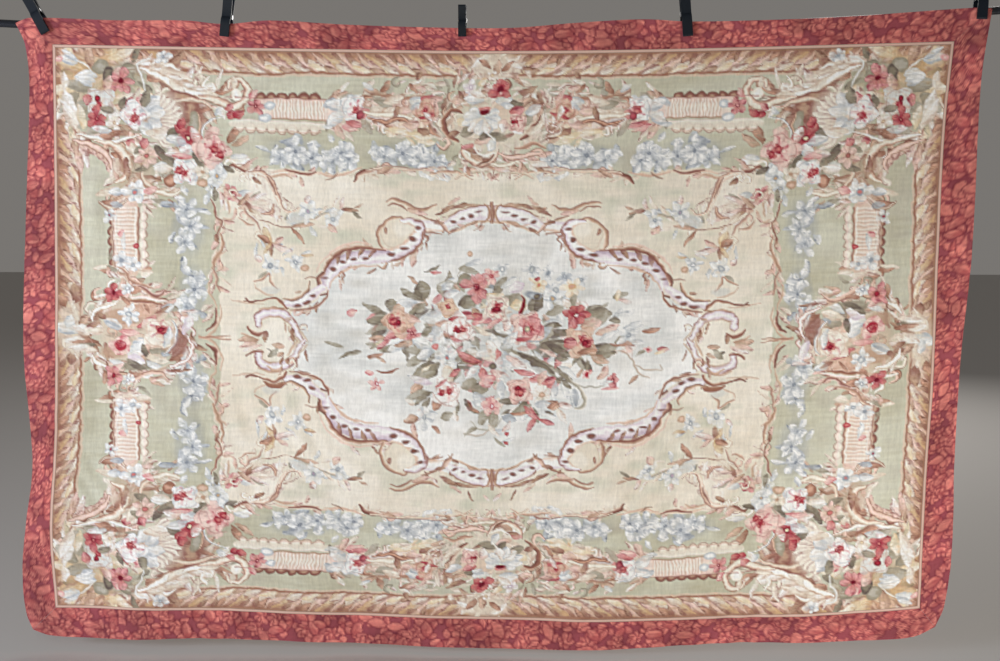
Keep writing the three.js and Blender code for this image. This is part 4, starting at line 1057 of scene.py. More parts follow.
# Cartouche in the middle of each side border
SIDE_CARTOUCHE = [
    (wash, -1040, 20, 100, 100, 0, "peach", 0.55), (wash, -1090, 58, 46, 20, 0, "tan", 0.8),
    (wash, -1000, 78, 34, 30, 0, "apricot", 0.6), (wash, -1100, -50, 40, 18, 0, "tan", 0.8),
    (wash, -1030, -90, 50, 16, 0, "olive", 0.6), (wash, -1225, 20, 34, 90, 0, "cream", 0.6),
    # Over the guard band
    (-1215, 90, 60, 34, 80, "brown", 0.2), (-1240, 80, 44, 26, 110, "rust", 0.2),
    (-1222, 62, 40, 18, 80, "cream"), (-1225, -90, 40, 26, 80, "brown"),
    (-1215, -60, 40, 22, 110, "cream", 0.2), (-1200, 5, 70, 40, 150, "white", 0.2),
    (-1235, 20, 40, 26, 60, "white", 0.2), (-1205, 30, 40, 26, 30, "tan", 0.2),
    (-1170, -5, 56, 30, 130, "ivory", 0.3), (-1180, -20, 60, 26, 170, "ivory", 0.2),
    (-1150, -30, 70, 16, 185, "olive"), (-1140, -20, 80, 14, 178, "rust"), (-1150, -50, 80, 22, 165, "ivory"),
    # Left acanthus
    (acanthus, (-1165, 40, -1158, 66, -1130, 84, -1095, 92), 16, 4, 1, "ivory", 1.6),
    (acanthus, (-1165, -60, -1150, -84, -1120, -96), 14, 3, -1, "ivory", 1.6),
    (-1130, 10, 44, 20, 170, "cream", 0.2),
    (stroke, (-1160, 112, -1130, 118, -1100, 112), (4, 8, 4), ("white", "ivory")),
    # Arcs above
    (stroke, (-1065, 104, -1030, 108, -995, 104, -955, 98), (4, 9, 9, 4), ("rosewood", "rust", "tan")),
    (stroke, (-1050, 116, -1010, 118, -970, 110, -940, 104), (4, 8, 8, 4), ("white", "blush")),
    (-1060, 128, 50, 24, 30, "rust", -0.2),
    (stroke, (-1030, 150, -1005, 140, -985, 124, -960, 122, -942, 138), (6, 14, 14, 14, 5),
     ("peach", "rosewood", "blush")),
    (stroke, (-1090, 205, -1065, 190, -1045, 165, -1010, 152, -980, 146), (3, 7, 9, 7, 3), ("rust", "peach")),
    (-1100, 112, 50, 26, 10, "peach"), (bloom, -1102, 128, 30, 5, 10, "crimson", "claret", 0.22),
    (-1080, 118, 40, 14, -50, "rust", 0.2), (bloom, -1062, 140, 20, 5, 0, "blue", "white", 0.3),
    # Flowers
    (bloom, -1052, 66, 32, 7, 20, "white", "pearl", 0.3), (-1054, 60, 34, 16, 270, "white"),
    (-1075, 22, 62, 32, 148, "white", 0.15), (-1080, 24, 50, 12, 148, "smoke", 0.15),
    (-1125, 45, 30, 16, 130, "brown", 0.2), (-1030, 30, 70, 20, 22, "coral", 0.15),
    (-1080, 14, 60, 20, -5, "pink"), (-1000, 40, 60, 30, -40, "peach"),
    (rose, -966, 14, 50, 20, "ivory", "peach", "crimson", "tan"), (heart, -952, 20, 16),
    (dot, -958, 24, 8, 7, 0, "claret"), (-985, -20, 50, 30, 220, "peach"), (-1060, -50, 60, 44, 10, "white"),
    (-1055, -58, 56, 36, -30, "lavender"), (-1045, -40, 52, 30, 40, "white"),
    (bloom, -1078, -30, 33, 5, 40, "pink", "crimson", 0.5, 0.95), (heart, -1080, -30, 16),
    (-1000, -60, 44, 20, 100, "bark"), (-990, -40, 56, 32, -20, "stone"),
    (-992, -60, 60, 30, -10, "cream", -0.1), (-1000, -72, 54, 22, -35, "white"),
    (-1110, -75, 46, 18, -20, "white"), (-1060, -70, 50, 20, -35, "olive"), (-1050, -84, 56, 14, -20, "bark"),
    (-960, -45, 30, 14, -30, "smoke"), (-950, -30, 60, 22, 60, "white", 0.3),
    (stroke, (-930, 46, -915, 20, -922, -20, -945, -50), (4, 12, 14, 5), ("tan", "white", "smoke")),
    (wash, -905, -30, 20, 40, -20, "rosewood", 0.75), (-895, 5, 70, 26, 60, "lavender", 0.2),
    (acanthus, (-880, 0, -868, -35, -885, -70, -930, -90), 15, 4, 1, "blush", 1.5),
    (-925, -70, 36, 12, 25, "rust"), (-990, 70, 40, 10, 120, "rust"), (-960, 80, 44, 22, 10, "white"),
    (-975, 70, 44, 12, 20, "brown"),
    # Arcs and flower below
    (stroke, (-1060, -150, -1025, -128, -990, -112, -955, -112, -935, -128), (4, 12, 13, 11, 4),
     ("blush", "peach", "rosewood")),
    (stroke, (-990, -104, -960, -98, -930, -84), (3, 8, 4), ("tan", "cream"), 0.9),
    (-1120, -112, 60, 24, 20, "peach"), (bloom, -1098, -122, 32, 5, 50, "coral", "crimson", 0.24),
    (bloom, -1055, -136, 20, 5, 0, "blue", "white", 0.3), (-1050, -110, 46, 12, -20, "rust", 0.2),
]

# Cartouche in the middle of the top and bottom borders
TOP_CARTOUCHE = [
    (wash, 0, 620, 135, 75, 0, "cream", 0.75), (wash, 60, 660, 60, 40, 0, "peach", 0.5),
    (wash, -5, 790, 70, 34, 0, "cream", 0.8), (-20, 815, 60, 24, 200, "ivory", 0.2),
    (20, 810, 60, 24, -20, "ivory", -0.2), (0, 760, 46, 24, 80, "tan"), (15, 770, 46, 18, 40, "rust"),
    (-15, 780, 46, 18, 140, "rust"),
    (stroke, (-96, 660, -122, 668, -140, 650, -142, 622, -128, 596, -100, 576), (7, 14, 16, 16, 15, 6),
     ("peach", "rust", "rosewood", "umber")),
    (-95, 606, 40, 22, 190, "brown", 0.2), (-130, 690, 50, 30, 10, "peach", 0.2),
    (-105, 640, 40, 26, -30, "yellow", 0.2), (-110, 720, 40, 14, -60, "brown", 0.3),
    (-90, 705, 34, 26, 30, "peach", 0.2), (bloom, -72, 728, 24, 5, 10, "lavender", "white", 0.25),
    (-50, 735, 30, 24, 20, "yellow", 0.2), (bloom, -8, 762, 16, 5, 0, "ivory", "straw", 0.3),
    (60, 600, 50, 12, 190, "brown", 0.2),
    (stroke, (78, 586, 98, 602, 116, 630, 132, 652), (10, 14, 10, 5), ("umber", "rosewood", "peach")),
    (stroke, (60, 560, 88, 564, 112, 574, 150, 562), (4, 10, 10, 4), ("rust", "peach")),
    (90, 600, 60, 24, 20, "cream", 0.2), (80, 620, 50, 26, 50, "stone", 0.2),
    (85, 660, 50, 26, 10, "blue", 0.2), (110, 700, 60, 20, 200, "tan", 0.2),
    (120, 720, 50, 20, 170, "cream", 0.2), (60, 715, 60, 18, 5, "brown", 0.2),
    # Lower curl
    (acanthus, (10, 545, 50, 535, 100, 540, 140, 545), 16, 4, -1, "peach", 1.5),
    (acanthus, (-20, 520, 20, 512, 70, 522), 12, 3, -1, "cream", 1.4),
    (stroke, (-88, 568, -86, 545, -62, 522, -30, 515, 0, 535, 10, 556), (6, 14, 16, 16, 14, 5),
     ("rosewood", "peach", "ivory", "cream")),
    (stroke, (-45, 512, -20, 524, -2, 542), (3, 9, 4), ("umber", "rust")),
    (-55, 560, 36, 22, 160, "coral", 0.3), (-40, 545, 40, 16, 150, "brown", 0.3),
    (-60, 575, 50, 20, 5, "peach", 0.2),
    (stroke, (-55, 565, -45, 548, -25, 540, 0, 548), (3, 6, 6, 3), ("white", "ivory")),
    # Flowers
    (-50, 618, 50, 30, 200, "olive"), (-15, 610, 40, 24, 220, "bark"), (-20, 600, 60, 26, -20, "olive"),
    (0, 590, 44, 26, 240, "white"), (stroke, (-30, 612, -15, 598, 0, 582), (3, 5, 3), ("white", "ivory")),
    (20, 685, 60, 22, -8, "bark"), (50, 640, 50, 40, -60, "blush"), (40, 660, 46, 26, 10, "coral"),
    (30, 640, 40, 30, 250, "blush"), (rose, 64, 630, 28, 100, "blush", "pink", "crimson", "rosewood"),
    (dot, 50, 632, 6, 5, 0, "claret"), (-30, 690, 60, 30, 165, "white"), (-28, 700, 50, 22, 150, "ivory"),
    (0, 690, 50, 26, 0, "white"), (18, 684, 34, 20, -20, "blue"),
]
TOP_CARTOUCHE += [(-32, 648, long, 26, turn, dyes, 0.05, 0.68) for turn, long, dyes in (
    (150, 46, "blue"), (15, 46, "white"), (-12, 50, "blue"), (195, 62, "white"), (222, 56, "ivory"),
    (175, 60, "white"), (-40, 50, "white"), (250, 54, "blue"), (-75, 50, "white"), (280, 48, "ivory"))]
TOP_CARTOUCHE += [
    (dot, -30, 668, 15, 7, 0, "coral"), (dot, -30, 661, 13, 7, 0, ("claret", "claret", "claret")),
    (bloom, 14, 722, 36, 7, 5, "crimson", "claret", 0.26, 0.9, 0.75), (dot, 18, 712, 5, 4, 0, "pink"),
]

# Bouquet in the middle of the medallion
BOUQUET = [
    (fan, -230, 50, 120, 60, 34, 40, LEAFAGE, 54), (fan, -100, 60, 110, 120, 50, 41, LEAFAGE, 50),
    (fan, 90, 90, 140, 110, 50, 42, ("blue", "stone", "ivory", "olive", "yellow", "smoke", "blush"), 46),
    (fan, 250, 20, 130, 90, 44, 43, LEAFAGE, 52), (fan, -130, -110, 120, 90, 40, 44, LEAFAGE, 50),
    (fan, 90, -110, 120, 100, 46, 45, ("white", "olive", "stone", "blush", "coral", "bark", "ivory", "blue"),
     50),
    (fan, 20, -20, 130, 80, 34, 46, ("white", "coral", "stone", "bark", "ivory", "peach"), 46),
    (wash, -20, 30, 250, 120, 0, "mist", 0.25), (wash, -280, 50, 60, 26, 0, "olive", 0.35),
    # Back leaves
    (-290, 92, 34, 44, 70, "olive"), (-300, 84, 78, 22, 168, "olive", -0.2),
    (-300, 78, 60, 20, 185, "stone", 0.2), (-200, 120, 62, 44, 85, "olive"), (-205, 125, 34, 22, 110, "bark"),
    (-195, 126, 74, 20, 166, "olive", -0.2), (-215, 120, 60, 26, 190, "blue", -0.1),
    (-200, 116, 60, 22, 215, "olive", 0.3), (-220, 90, 40, 22, 30, "stone", 0.2),
    (-290, 60, 70, 26, 170, "olive"), (-290, 50, 80, 22, 190, "stone"), (-300, 40, 60, 16, 200, "bark"),
    (-300, 20, 56, 16, 190, "tan", -0.1), (-60, 190, 44, 34, 185, "olive", 0.2),
    (-100, 215, 60, 20, 5, "stone", -0.3),
    (stroke, (-100, 195, -80, 225, -45, 236), (2, 4, 2), ("stone", "moss"), 0.8),
    (-40, 150, 66, 24, 50, "peach"), (-10, 130, 80, 26, 52, "olive", 0.05), (20, 160, 60, 20, 30, "white"),
    (-95, 115, 50, 40, 5, "olive"), (-100, 110, 40, 18, 40, "bark"), (40, 120, 60, 46, 15, "stone", -0.2),
    (50, 110, 56, 34, 10, "yellow", -0.2),
    (stroke, (84, 140, 92, 120, 82, 96, 66, 66), (4, 12, 10, 3), ("crimson", "claret", "rust")),
    (100, 100, 60, 40, 30, "olive"), (120, 90, 60, 24, 60, "bark"), (150, 85, 60, 26, 20, "stone"),
    (140, 60, 60, 22, 5, "white", -0.1), (145, 52, 50, 18, 10, "bark", -0.1),
    (145, 15, 90, 28, 30, "bark", -0.3), (130, -5, 100, 34, 6, "olive", -0.1),
    (130, 5, 70, 30, 40, "stone", 0.2), (150, 0, 80, 24, -20, "bark", -0.1), (90, 10, 90, 34, 20, "smoke"),
    (260, 90, 46, 26, 30, "olive", -0.2), (268, 92, 66, 24, 4, "olive", -0.15),
    (270, 86, 60, 20, -10, "stone"), (290, 30, 70, 22, 20, "peach"), (280, 50, 60, 26, 40, "stone"),
    (300, 15, 60, 18, 25, "white"), (330, 2, 74, 14, 0, "rust"), (290, 0, 44, 22, -10, "bark"),
    (290, -20, 56, 30, -12, "olive", 0.2), (280, -25, 56, 30, -40, "tan", 0.2),
    (300, -10, 50, 22, 0, "stone"), (bloom, 378, 28, 28, 5, 20, "blue", "sky", 0.25),
    (380, 36, 44, 16, 15, "white"),
    # Long leaves that trail to the lower right
    (50, -14, 160, 18, -22, "stone", -0.06), (60, -30, 130, 22, -36, "white", 0.02),
    (100, -40, 90, 14, -48, "bark", 0.04), (70, -20, 120, 16, -30, "bark", 0.0),
    (130, -50, 90, 22, -45, "olive", 0.04), (110, -60, 80, 20, -35, "white"),
    (180, -60, 70, 14, -50, "olive", 0.05), (190, -60, 66, 18, -30, "white", -0.1),
    (200, -95, 60, 22, -80, "white"), (195, -98, 44, 16, -45, "olive"), (180, -100, 60, 20, -100, "blue"),
    (stroke, (215, -95, 245, -118, 262, -140, 268, -162, 256, -180, 238, -182), (4, 8, 11, 12, 11, 5),
     ("moss", "stone", "ivory")),
    (232, -180, 60, 34, 68, "white", 0.2), (240, -176, 46, 18, 80, "smoke", 0.2),
    (stroke, (250, -118, 290, -122, 320, -118), (3, 4, 3), ("stone", "olive"), 0.8),
    (300, -100, 50, 24, 40, "peach", 0.3), (bloom, 342, -102, 20, 5, 0, "coral", "pink", 0.25),
    (312, -128, 50, 8, 2, "pink", 0.0), (305, -112, 40, 14, 5, "white"),
    (bloom, 272, -86, 15, 5, 20, "pink", "crimson", 0.4),
    (stroke, (345, -16, 372, -24, 392, -50, 410, -84, 440, -96), (2, 4, 5, 4, 2), ("stone", "tan"), 0.9),
    (stroke, (400, -60, 425, -74, 455, -78, 475, -76, 470, -62), (2, 4, 4, 3, 2), ("stone", "tan"), 0.9),
    (410, -88, 34, 8, 220, "tan"), (bloom, 432, -18, 11, 5, 0, "pink", "crimson", 0.3),
    (425, -20, 30, 12, 200, "stone", 0.2), (455, -18, 40, 12, -15, "coral"), (450, -32, 40, 9, 10, "yellow"),
    (330, 130, 50, 18, 10, "stone"), (350, 125, 40, 12, -20, "blush"), (345, 120, 34, 14, 70, "yellow"),
    # Lower leaves
    (-100, -50, 60, 24, 250, "bark"), (-200, -40, 50, 26, 200, "stone"),
    (-180, -50, 70, 24, 235, "olive", -0.2), (-190, -30, 60, 26, 160, "stone"),
    (-160, -60, 70, 30, 215, "yellow", 0.2), (-150, -55, 60, 30, 225, "olive"),
    (-160, -80, 66, 22, 195, "stone"), (-170, -112, 66, 22, 175, "lavender", -0.2),
    (-170, -140, 76, 24, 178, "stone", 0.25), (-165, -135, 66, 18, 195, "olive", 0.3),
    (-150, -155, 34, 26, 240, "rust"), (-175, -150, 44, 16, 230, "olive"), (-80, -150, 60, 16, -55, "bark"),
    (-70, -160, 46, 12, -50, "rust"), (-60, -120, 50, 34, -10, "olive"), (-50, -130, 60, 30, -60, "blue"),
    (-40, -100, 50, 34, 200, "stone"), (-20, -180, 46, 30, 250, "stone"), (10, -180, 56, 30, -100, "stone"),
    (30, -200, 40, 26, -20, "smoke"),
    (stroke, (-85, -248, -55, -254, -25, -250, 5, -228), (2, 4, 4, 2), ("stone", "tan"), 0.8),
    (stroke, (100, -160, 115, -185, 135, -212), (4, 6, 5), ("coral", "pink")),
    (128, -205, 50, 14, 225, "coral"), (130, -208, 50, 12, -25, "coral"), (50, -190, 60, 16, -5, "rust"),
    (55, -185, 60, 18, 10, "stone"), (90, -170, 60, 20, -50, "coral"),
    # Small flowers round the rim
    (bloom, -330, -118, 24, 5, 20, "pink", "white", 0.25, 0.5), (-345, -95, 26, 18, 120, "pink"),
    (stroke, (-332, -76, -310, -82, -288, -80, -268, -72), (3, 8, 8, 3), ("rust", "rosewood")),
    (-420, 84, 32, 20, 10, "pink"), (-325, -8, 40, 12, 160, "stone"), (-360, -40, 50, 12, 10, "rust"),
    (-440, -35, 70, 10, 5, "stone"), (-335, -35, 40, 10, -35, "tan"), (-375, -20, 50, 12, 185, "olive"),
    (-240, 0, 60, 30, 190, "blue"), (-180, 205, 34, 12, -5, "coral"), (-195, 205, 50, 8, 15, "olive", 0.2),
    (-240, 195, 36, 12, -45, "tan"), (-145, 155, 50, 26, 30, "blue", 0.2),
    (-140, 140, 46, 26, 5, "white", 0.2),
    (stroke, (-150, 170, -130, 180, -100, 172), (3, 4, 2), ("stone", "moss"), 0.8),
    (dot, -62, 258, 8, 7, 0, "tan"), (-80, 225, 60, 16, 15, "blue"),
    (bloom, -5, 195, 24, 5, 0, "pink", "peach", 0.25), (bloom, 25, 215, 22, 5, 30, "blue", "white", 0.3),
    (bloom, 112, 214, 24, 5, 20, "blue", "mist", 0.4), (bloom, 160, 206, 20, 5, 0, "blue", "smoke", 0.3),
    (bloom, 205, 195, 18, 5, 40, "smoke", "sky", 0.3), (bloom, 250, 185, 18, 5, 40, "blue", "sky", 0.3),
    (90, 175, 50, 34, 200, "lavender", 0.2), (bloom, 132, 170, 26, 6, 20, "yellow", "coral", 0.25),
    (118, 186, 20, 12, 0, "crimson"), (bloom, 180, 158, 26, 6, 50, "white", "mist", 0.3),
    (bloom, 225, 166, 30, 7, 10, "yellow", "apricot", 0.3),
    (bloom, 172, 132, 28, 6, 20, "white", "gold", 0.3), (dot, 120, 142, 26, 10, -10, "smoke"),
    (dot, 130, 138, 9, 7, 0, "bark"),
    # Trails below the bunch
    (stroke, (-60, -215, -30, -238, 10, -232, 30, -205), (2, 4, 4, 2), ("stone", "moss"), 0.8),
    (-40, -230, 50, 14, 200, "stone", 0.2), (-10, -225, 44, 16, -60, "ivory", 0.2),
    (10, -240, 40, 16, -20, "blue", 0.2), (30, -245, 40, 14, 40, "blush", 0.2), (heart, 42, -252, 8),
    (5, -262, 40, 10, -50, "stone", 0.2), (30, -275, 34, 12, 10, "white", 0.2), (heart, 40, -278, 7),
    (-430, -12, 60, 12, 160, "stone"), (-400, -20, 50, 10, 200, "olive", 0.2),
    (-350, -15, 44, 10, 30, "moss_tan", 0.2), (415, 35, 50, 14, -5, "rust", 0.2),
    (360, 45, 60, 16, 12, "blue"), (380, 12, 46, 16, -20, "mist"),
    # Big flowers, left to right
    (-260, 40, 50, 26, 200, "pink"), (-255, 30, 60, 20, 190, "coral"), (-270, 20, 66, 22, -5, "pink"),
    (-250, 15, 50, 16, 10, "coral"), (bloom, -232, 30, 20, 5, 10, "coral", "pink", 0.3),
    (-280, -5, 60, 22, 5, "tan"), (rose, -268, 62, 44, 160, "peach", "blush", "coral", "rust"),
    (heart, -282, 66, 17), (dot, -268, 60, 7, 10, 20, "claret"), (-250, 85, 50, 22, -40, "peach", 0.2),
    (-200, 70, 60, 40, 5, "white"), (-190, 30, 60, 30, 15, "blue"), (-205, 20, 40, 22, 40, "olive"),
    (-170, 55, 60, 20, 0, "peach"), (rose, -128, 102, 30, 40, "peach", "straw", "apricot", "rust"),
    (-110, 85, 70, 26, -10, "coral"), (-60, 105, 50, 26, -60, "tan"), (-60, 90, 60, 24, -30, "coral"),
    (-120, 30, 44, 26, 200, "rust", 0.2), (-115, 15, 50, 26, 195, "bark"), (-60, 60, 50, 20, 20, "pink"),
    (rose, -98, 42, 46, 330, "white", "blush", "coral", "rosewood"), (heart, -104, 40, 13),
    (dot, -98, 37, 8, 7, 0, "claret"), (-130, 68, 34, 12, 10, "crimson"),
    (-125, 25, 40, 12, -40, "coral", 0.3), (bloom, -48, 162, 42, 9, 10, "coral", "pink", 0.2, 0.9),
    (dot, -48, 162, 4, 4, 0, "claret"), (-20, 140, 50, 20, -10, "yellow"), (-50, 50, 66, 24, -20, "cream"),
    (-25, 45, 80, 18, -10, "bark", -0.1), (0, 60, 60, 30, -30, "white"),
    (rose, 8, 102, 38, 190, "ivory", "blush", "coral", "rosewood"), (heart, 12, 106, 16),
    (dot, 8, 98, 13, 7, -10, "claret"), (30, 75, 60, 14, 200, "pink"), (60, 80, 40, 26, 240, "white"),
    (30, 40, 44, 26, 60, "blush"), (rose, 96, 48, 50, 210, "blush", "white", "coral", "rosewood"),
    (rose, 112, 52, 36, 210, "pink", "coral", "crimson", "claret"), (dot, 96, 44, 8, 8, 0, "moss_tan"),
    (60, 20, 50, 14, -20, "crimson", 0.3), (bloom, 236, 84, 36, 7, 10, "crimson", "blush", 0.16, 0.9, 0.9),
    (dot, 240, 82, 4, 4, 0, "white"), (215, 40, 40, 20, 60, "coral"), (250, 50, 60, 40, 10, "peach"),
    (rose, 250, 8, 46, 20, "peach", "cream", "coral", "rust"), (heart, 270, 4, 17),
    (dot, 262, 6, 10, 8, 20, "claret"), (200, 0, 40, 34, 10, "coral"), (240, -20, 60, 20, 5, "rust"),
    # White lilies and their stems
    (-170, -15, 60, 36, 20, "white"), (-170, -18, 60, 36, 60, "white"), (-175, -15, 60, 34, 150, "white"),
    (-170, -20, 50, 30, 200, "blue"), (dot, -166, -10, 9, 9, 0, "coral"),
    (bloom, -130, -38, 34, 5, 30, "white", "coral", 0.22), (-130, -60, 50, 36, -80, "cream"),
    (-120, -90, 34, 18, 30, "coral"), (-40, -55, 70, 24, 150, "rust"), (-30, -50, 80, 20, 165, "coral", -0.1),
    (-40, -20, 60, 22, -30, "cream"), (-35, -60, 50, 30, 215, "white"),
    (-30, -60, 44, 24, -70, "coral", -0.2), (10, -20, 60, 26, 180, "white"), (15, -35, 70, 34, 100, "white"),
    (15, -40, 62, 34, 130, "ivory", -0.2), (12, -10, 60, 20, -80, "coral"), (25, -30, 66, 32, 260, "white"),
    (30, -20, 70, 30, -60, "blue"), (25, -10, 66, 30, 40, "white"), (40, -30, 70, 26, -40, "blush"),
    (dot, 2, -58, 11, 8, 0, "bark"), (0, -70, 60, 34, -40, "blush"), (10, -90, 50, 34, 200, "pink"),
    (30, -80, 60, 30, -70, "white"), (30, -100, 50, 24, -100, "blue"),
    # Lower roses
    (rose, -128, -136, 44, 0, "white", "blush", "pink", "rosewood"), (heart, -142, -138, 13),
    (-160, -120, 40, 12, 20, "coral", 0.2), (bloom, -195, -205, 34, 5, 20, "white", "mist", 0.2),
    (-215, -205, 40, 24, 185, "tan", 0.2), (-150, -205, 40, 24, 10, "stone"),
    (-175, -225, 34, 12, -50, "rust"), (0, -140, 60, 30, 250, "pink"),
    (bloom, 0, -170, 26, 5, 20, "pink", "white", 0.3), (60, -70, 60, 18, -20, "coral"),
    (100, -100, 60, 22, 5, "coral"), (80, -160, 60, 20, 170, "bark"),
    (rose, 78, -128, 38, 120, "blush", "pink", "coral", "rosewood"), (heart, 80, -132, 17),
    (dot, 74, -122, 9, 6, -10, "claret"), (130, -120, 50, 30, 60, "peach"),
    (bloom, 140, -140, 32, 6, 10, "ivory", "peach", 0.25), (140, -110, 44, 22, 20, "coral"),
    (150, -160, 44, 30, -30, "tan", 0.2), (120, -165, 50, 26, -10, "blue"), (130, -185, 60, 26, -25, "white"),
    (150, -188, 30, 8, -20, "bark"), (155, -178, 34, 16, 20, "rust", 0.2),
]

draw(FRAME)
draw(SPANDREL)
draw(CLASP)
draw(CLASP_MIDDLE, LEFT_RIGHT)
foliage(MEDALLION[:14], 66, 64, 51, ("shell", "tan", "peach", "brown", "blush"), 30, LEFT_RIGHT)
foliage(MEDALLION[13:], 66, 64, 52, ("shell", "tan", "peach", "brown", "blush"), 30, LEFT_RIGHT)
draw(RIBBON)
draw(UNDER_SIDE, TURNED)
draw(SIDE_CARTOUCHE, TURNED)
draw(UNDER_TOP, TURNED)
draw(TOP_CARTOUCHE, TURNED)
draw(BOUQUET, ONCE)

# Printed cotton of the border
# Coral leaves and small flowers with dark outlines lie close together on madder, at random turns along
# four lines round the panel. The strips are a little worn: their colour goes up and down in patches.
woven = dyed
dyed = ground("madder", "wine", 0.1, 0.1, 0.3)
print_rng = np.random.default_rng(31)


def printed_leaf(x, z, long, wide, turn):
    """A coral leaf inside a dark outline. Some are lighter than the rest."""
    back = radians(turn)
    outline = ("wine", "wine", "wine")
    foot_x, foot_z = x - 4 * np.cos(back), z - 4 * np.sin(back)
    leaf(foot_x, foot_z, long + 7, wide + 6, turn, outline, 0.12, 0.5, 0, 0, 0, ONCE)
    dyes = "print" if print_rng.uniform() < 0.7 else ("salmon", "salmon", "brick")
    leaf(x, z, long, wide, turn, dyes, 0.12, 0.5, 0.4, 0.55, 0.0, ONCE)


def print_sprig(x, z, turn):
    """A flower of six round petals, or a big leaf with two small ones at its foot."""
    if print_rng.uniform() < 0.32:
        for k in range(6):
            printed_leaf(x, z, 25, 17, turn + 60 * k)
        dot(x, z, 5, 5, 0, ("salmon", "salmon", "wine"), flips=ONCE)
        return
    printed_leaf(x, z, print_rng.uniform(26, 34), 20, turn + 75)
    printed_leaf(x, z, print_rng.uniform(26, 34), 20, turn - 80)
    printed_leaf(x, z, print_rng.uniform(46, 60), print_rng.uniform(24, 32), turn)


for out, start in ((0, 0), (36, 24), (72, 6), (108, 30)):
    for x in np.arange(-HALF_W - out - start, HALF_W + out, 47):
        for z in (HALF_H + out, -HALF_H - out):
            print_sprig(x + print_rng.uniform(-9, 9), z + print_rng.uniform(-9, 9), print_rng.uniform(0, 360))
    for z in np.arange(-HALF_H - out - start, HALF_H + out, 47):
        for x in (HALF_W + out, -HALF_W - out):
            print_sprig(x + print_rng.uniform(-9, 9), z + print_rng.uniform(-9, 9), print_rng.uniform(0, 360))

off_panel = np.maximum(np.abs(flat_x) - HALF_W, np.abs(flat_z) - HALF_H) > 3
worn = 1 + 0.14 * lattice_noise(flat_x / 60, flat_z / 60, 24)
dyed = np.where(off_panel[..., None], dyed * worn[..., None], woven)


def spread(picture, cells):
    """The average of a picture over a square of cells, taken along both directions."""
    for axis in (0, 1):
        picture = sum(np.roll(picture, k, axis) for k in range(-cells, cells + 1)) / (2 * cells + 1)
    return picture


# Yarns contrast with their neighbours, as single threads do, along the ribs of the weave
warp_lines = 1 + 0.024 * lattice_noise(flat_x / 5.2, flat_z / 30, 17)
dyed *= (warp_lines + 0.014 * lattice_noise(flat_x / 40, flat_z / 5, 18))[..., None]
dyed = np.clip(dyed + 0.4 * (dyed - spread(dyed, 2)), 0.02, 0.98)

# Woven panel
# Wool dyed before it was woven, in one piece, whose ribs run across. It is built in four quarters that
# meet without a step, each a closed sheet, and takes its colours from the cartoon.
def yarn_group():
    """A node group of the yarns: noise drawn out along them scales the dye and lifts the surface.

    Colour is Dye times a value from Darkest to Lightest. Normal is bumped by the same noise.
    """
    group = bpy.data.node_groups.new("yarns", "ShaderNodeTree")
    sockets = {
        "INPUT": {"Dye": "Color", "Place": "Vector", "Yarns": "Vector", "Darkest": "Float",
                  "Lightest": "Float", "Relief": "Float"},
        "OUTPUT": {"Colour": "Color", "Normal": "Vector"},
    }
    for way, kinds in sockets.items():
        for name, kind in kinds.items():
            group.interface.new_socket(name=name, in_out=way, socket_type="NodeSocket" + kind)
    given, result = group.nodes.new("NodeGroupInput"), group.nodes.new("NodeGroupOutput")
    stretch = group.nodes.new("ShaderNodeVectorMath")
    stretch.operation = "MULTIPLY"
    noise = group.nodes.new("ShaderNodeTexNoise")
    noise.inputs["Scale"].default_value = 1.0
    noise.inputs["Detail"].default_value = 3
    level = group.nodes.new("ShaderNodeMapRange")
    shade = group.nodes.new("ShaderNodeVectorMath")
    shade.operation = "SCALE"
    bump = group.nodes.new("ShaderNodeBump")
    bump.inputs["Distance"].default_value = 0.001
    for source, target in (
        (given.outputs["Place"], stretch.inputs[0]),
        (given.outputs["Yarns"], stretch.inputs[1]),
        (stretch.outputs["Vector"], noise.inputs["Vector"]),
        (noise.outputs["Fac"], level.inputs["Value"]),
        (given.outputs["Darkest"], level.inputs["To Min"]),
        (given.outputs["Lightest"], level.inputs["To Max"]),
        (given.outputs["Dye"], shade.inputs[0]),
        (level.outputs["Result"], shade.inputs["Scale"]),
        (shade.outputs["Vector"], result.inputs["Colour"]),
        (noise.outputs["Fac"], bump.inputs["Height"]),
        (given.outputs["Relief"], bump.inputs["Strength"]),
        (bump.outputs["Normal"], result.inputs["Normal"]),
    ):
        group.links.new(source, target)
    return group


YARNS = yarn_group()
# Cells of the noise to a yarn, across the warp and along the weft
CELLS_PER_YARN = (0.7, 0.15)


def cloth_material(name, warp, weft, relief, rough, mottle):
    """Cloth with this many warp and weft yarns to a metre. mottle is how far they stray from their dye."""
    material = bpy.data.materials.new(name)
    material.use_nodes = True
    nodes, links = material.node_tree.nodes, material.node_tree.links
    shader = nodes["Principled BSDF"]
    dye = nodes.new("ShaderNodeAttribute")
    dye.attribute_name = "dye"
    flat = nodes.new("ShaderNodeAttribute")
    flat.attribute_name = "flat"
    yarns = nodes.new("ShaderNodeGroup")
    yarns.node_tree = YARNS
    yarns.inputs["Yarns"].default_value = (warp * CELLS_PER_YARN[0], weft * CELLS_PER_YARN[1], 1)
    yarns.inputs["Darkest"].default_value = 1 - mottle
    yarns.inputs["Lightest"].default_value = 1 + mottle
    yarns.inputs["Relief"].default_value = relief
    links.new(dye.outputs["Color"], yarns.inputs["Dye"])
    links.new(flat.outputs["Vector"], yarns.inputs["Place"])
    links.new(yarns.outputs["Colour"], shader.inputs["Base Color"])
    links.new(yarns.outputs["Normal"], shader.inputs["Normal"])
    shader.inputs["Roughness"].default_value = rough
    shader.inputs["Specular IOR Level"].default_value = 0.15
    shader.inputs["Sheen Weight"].default_value = 0.1
    return material


weave_material = cloth_material("weave", 300, 480, 0.6, 0.95, 0.13)

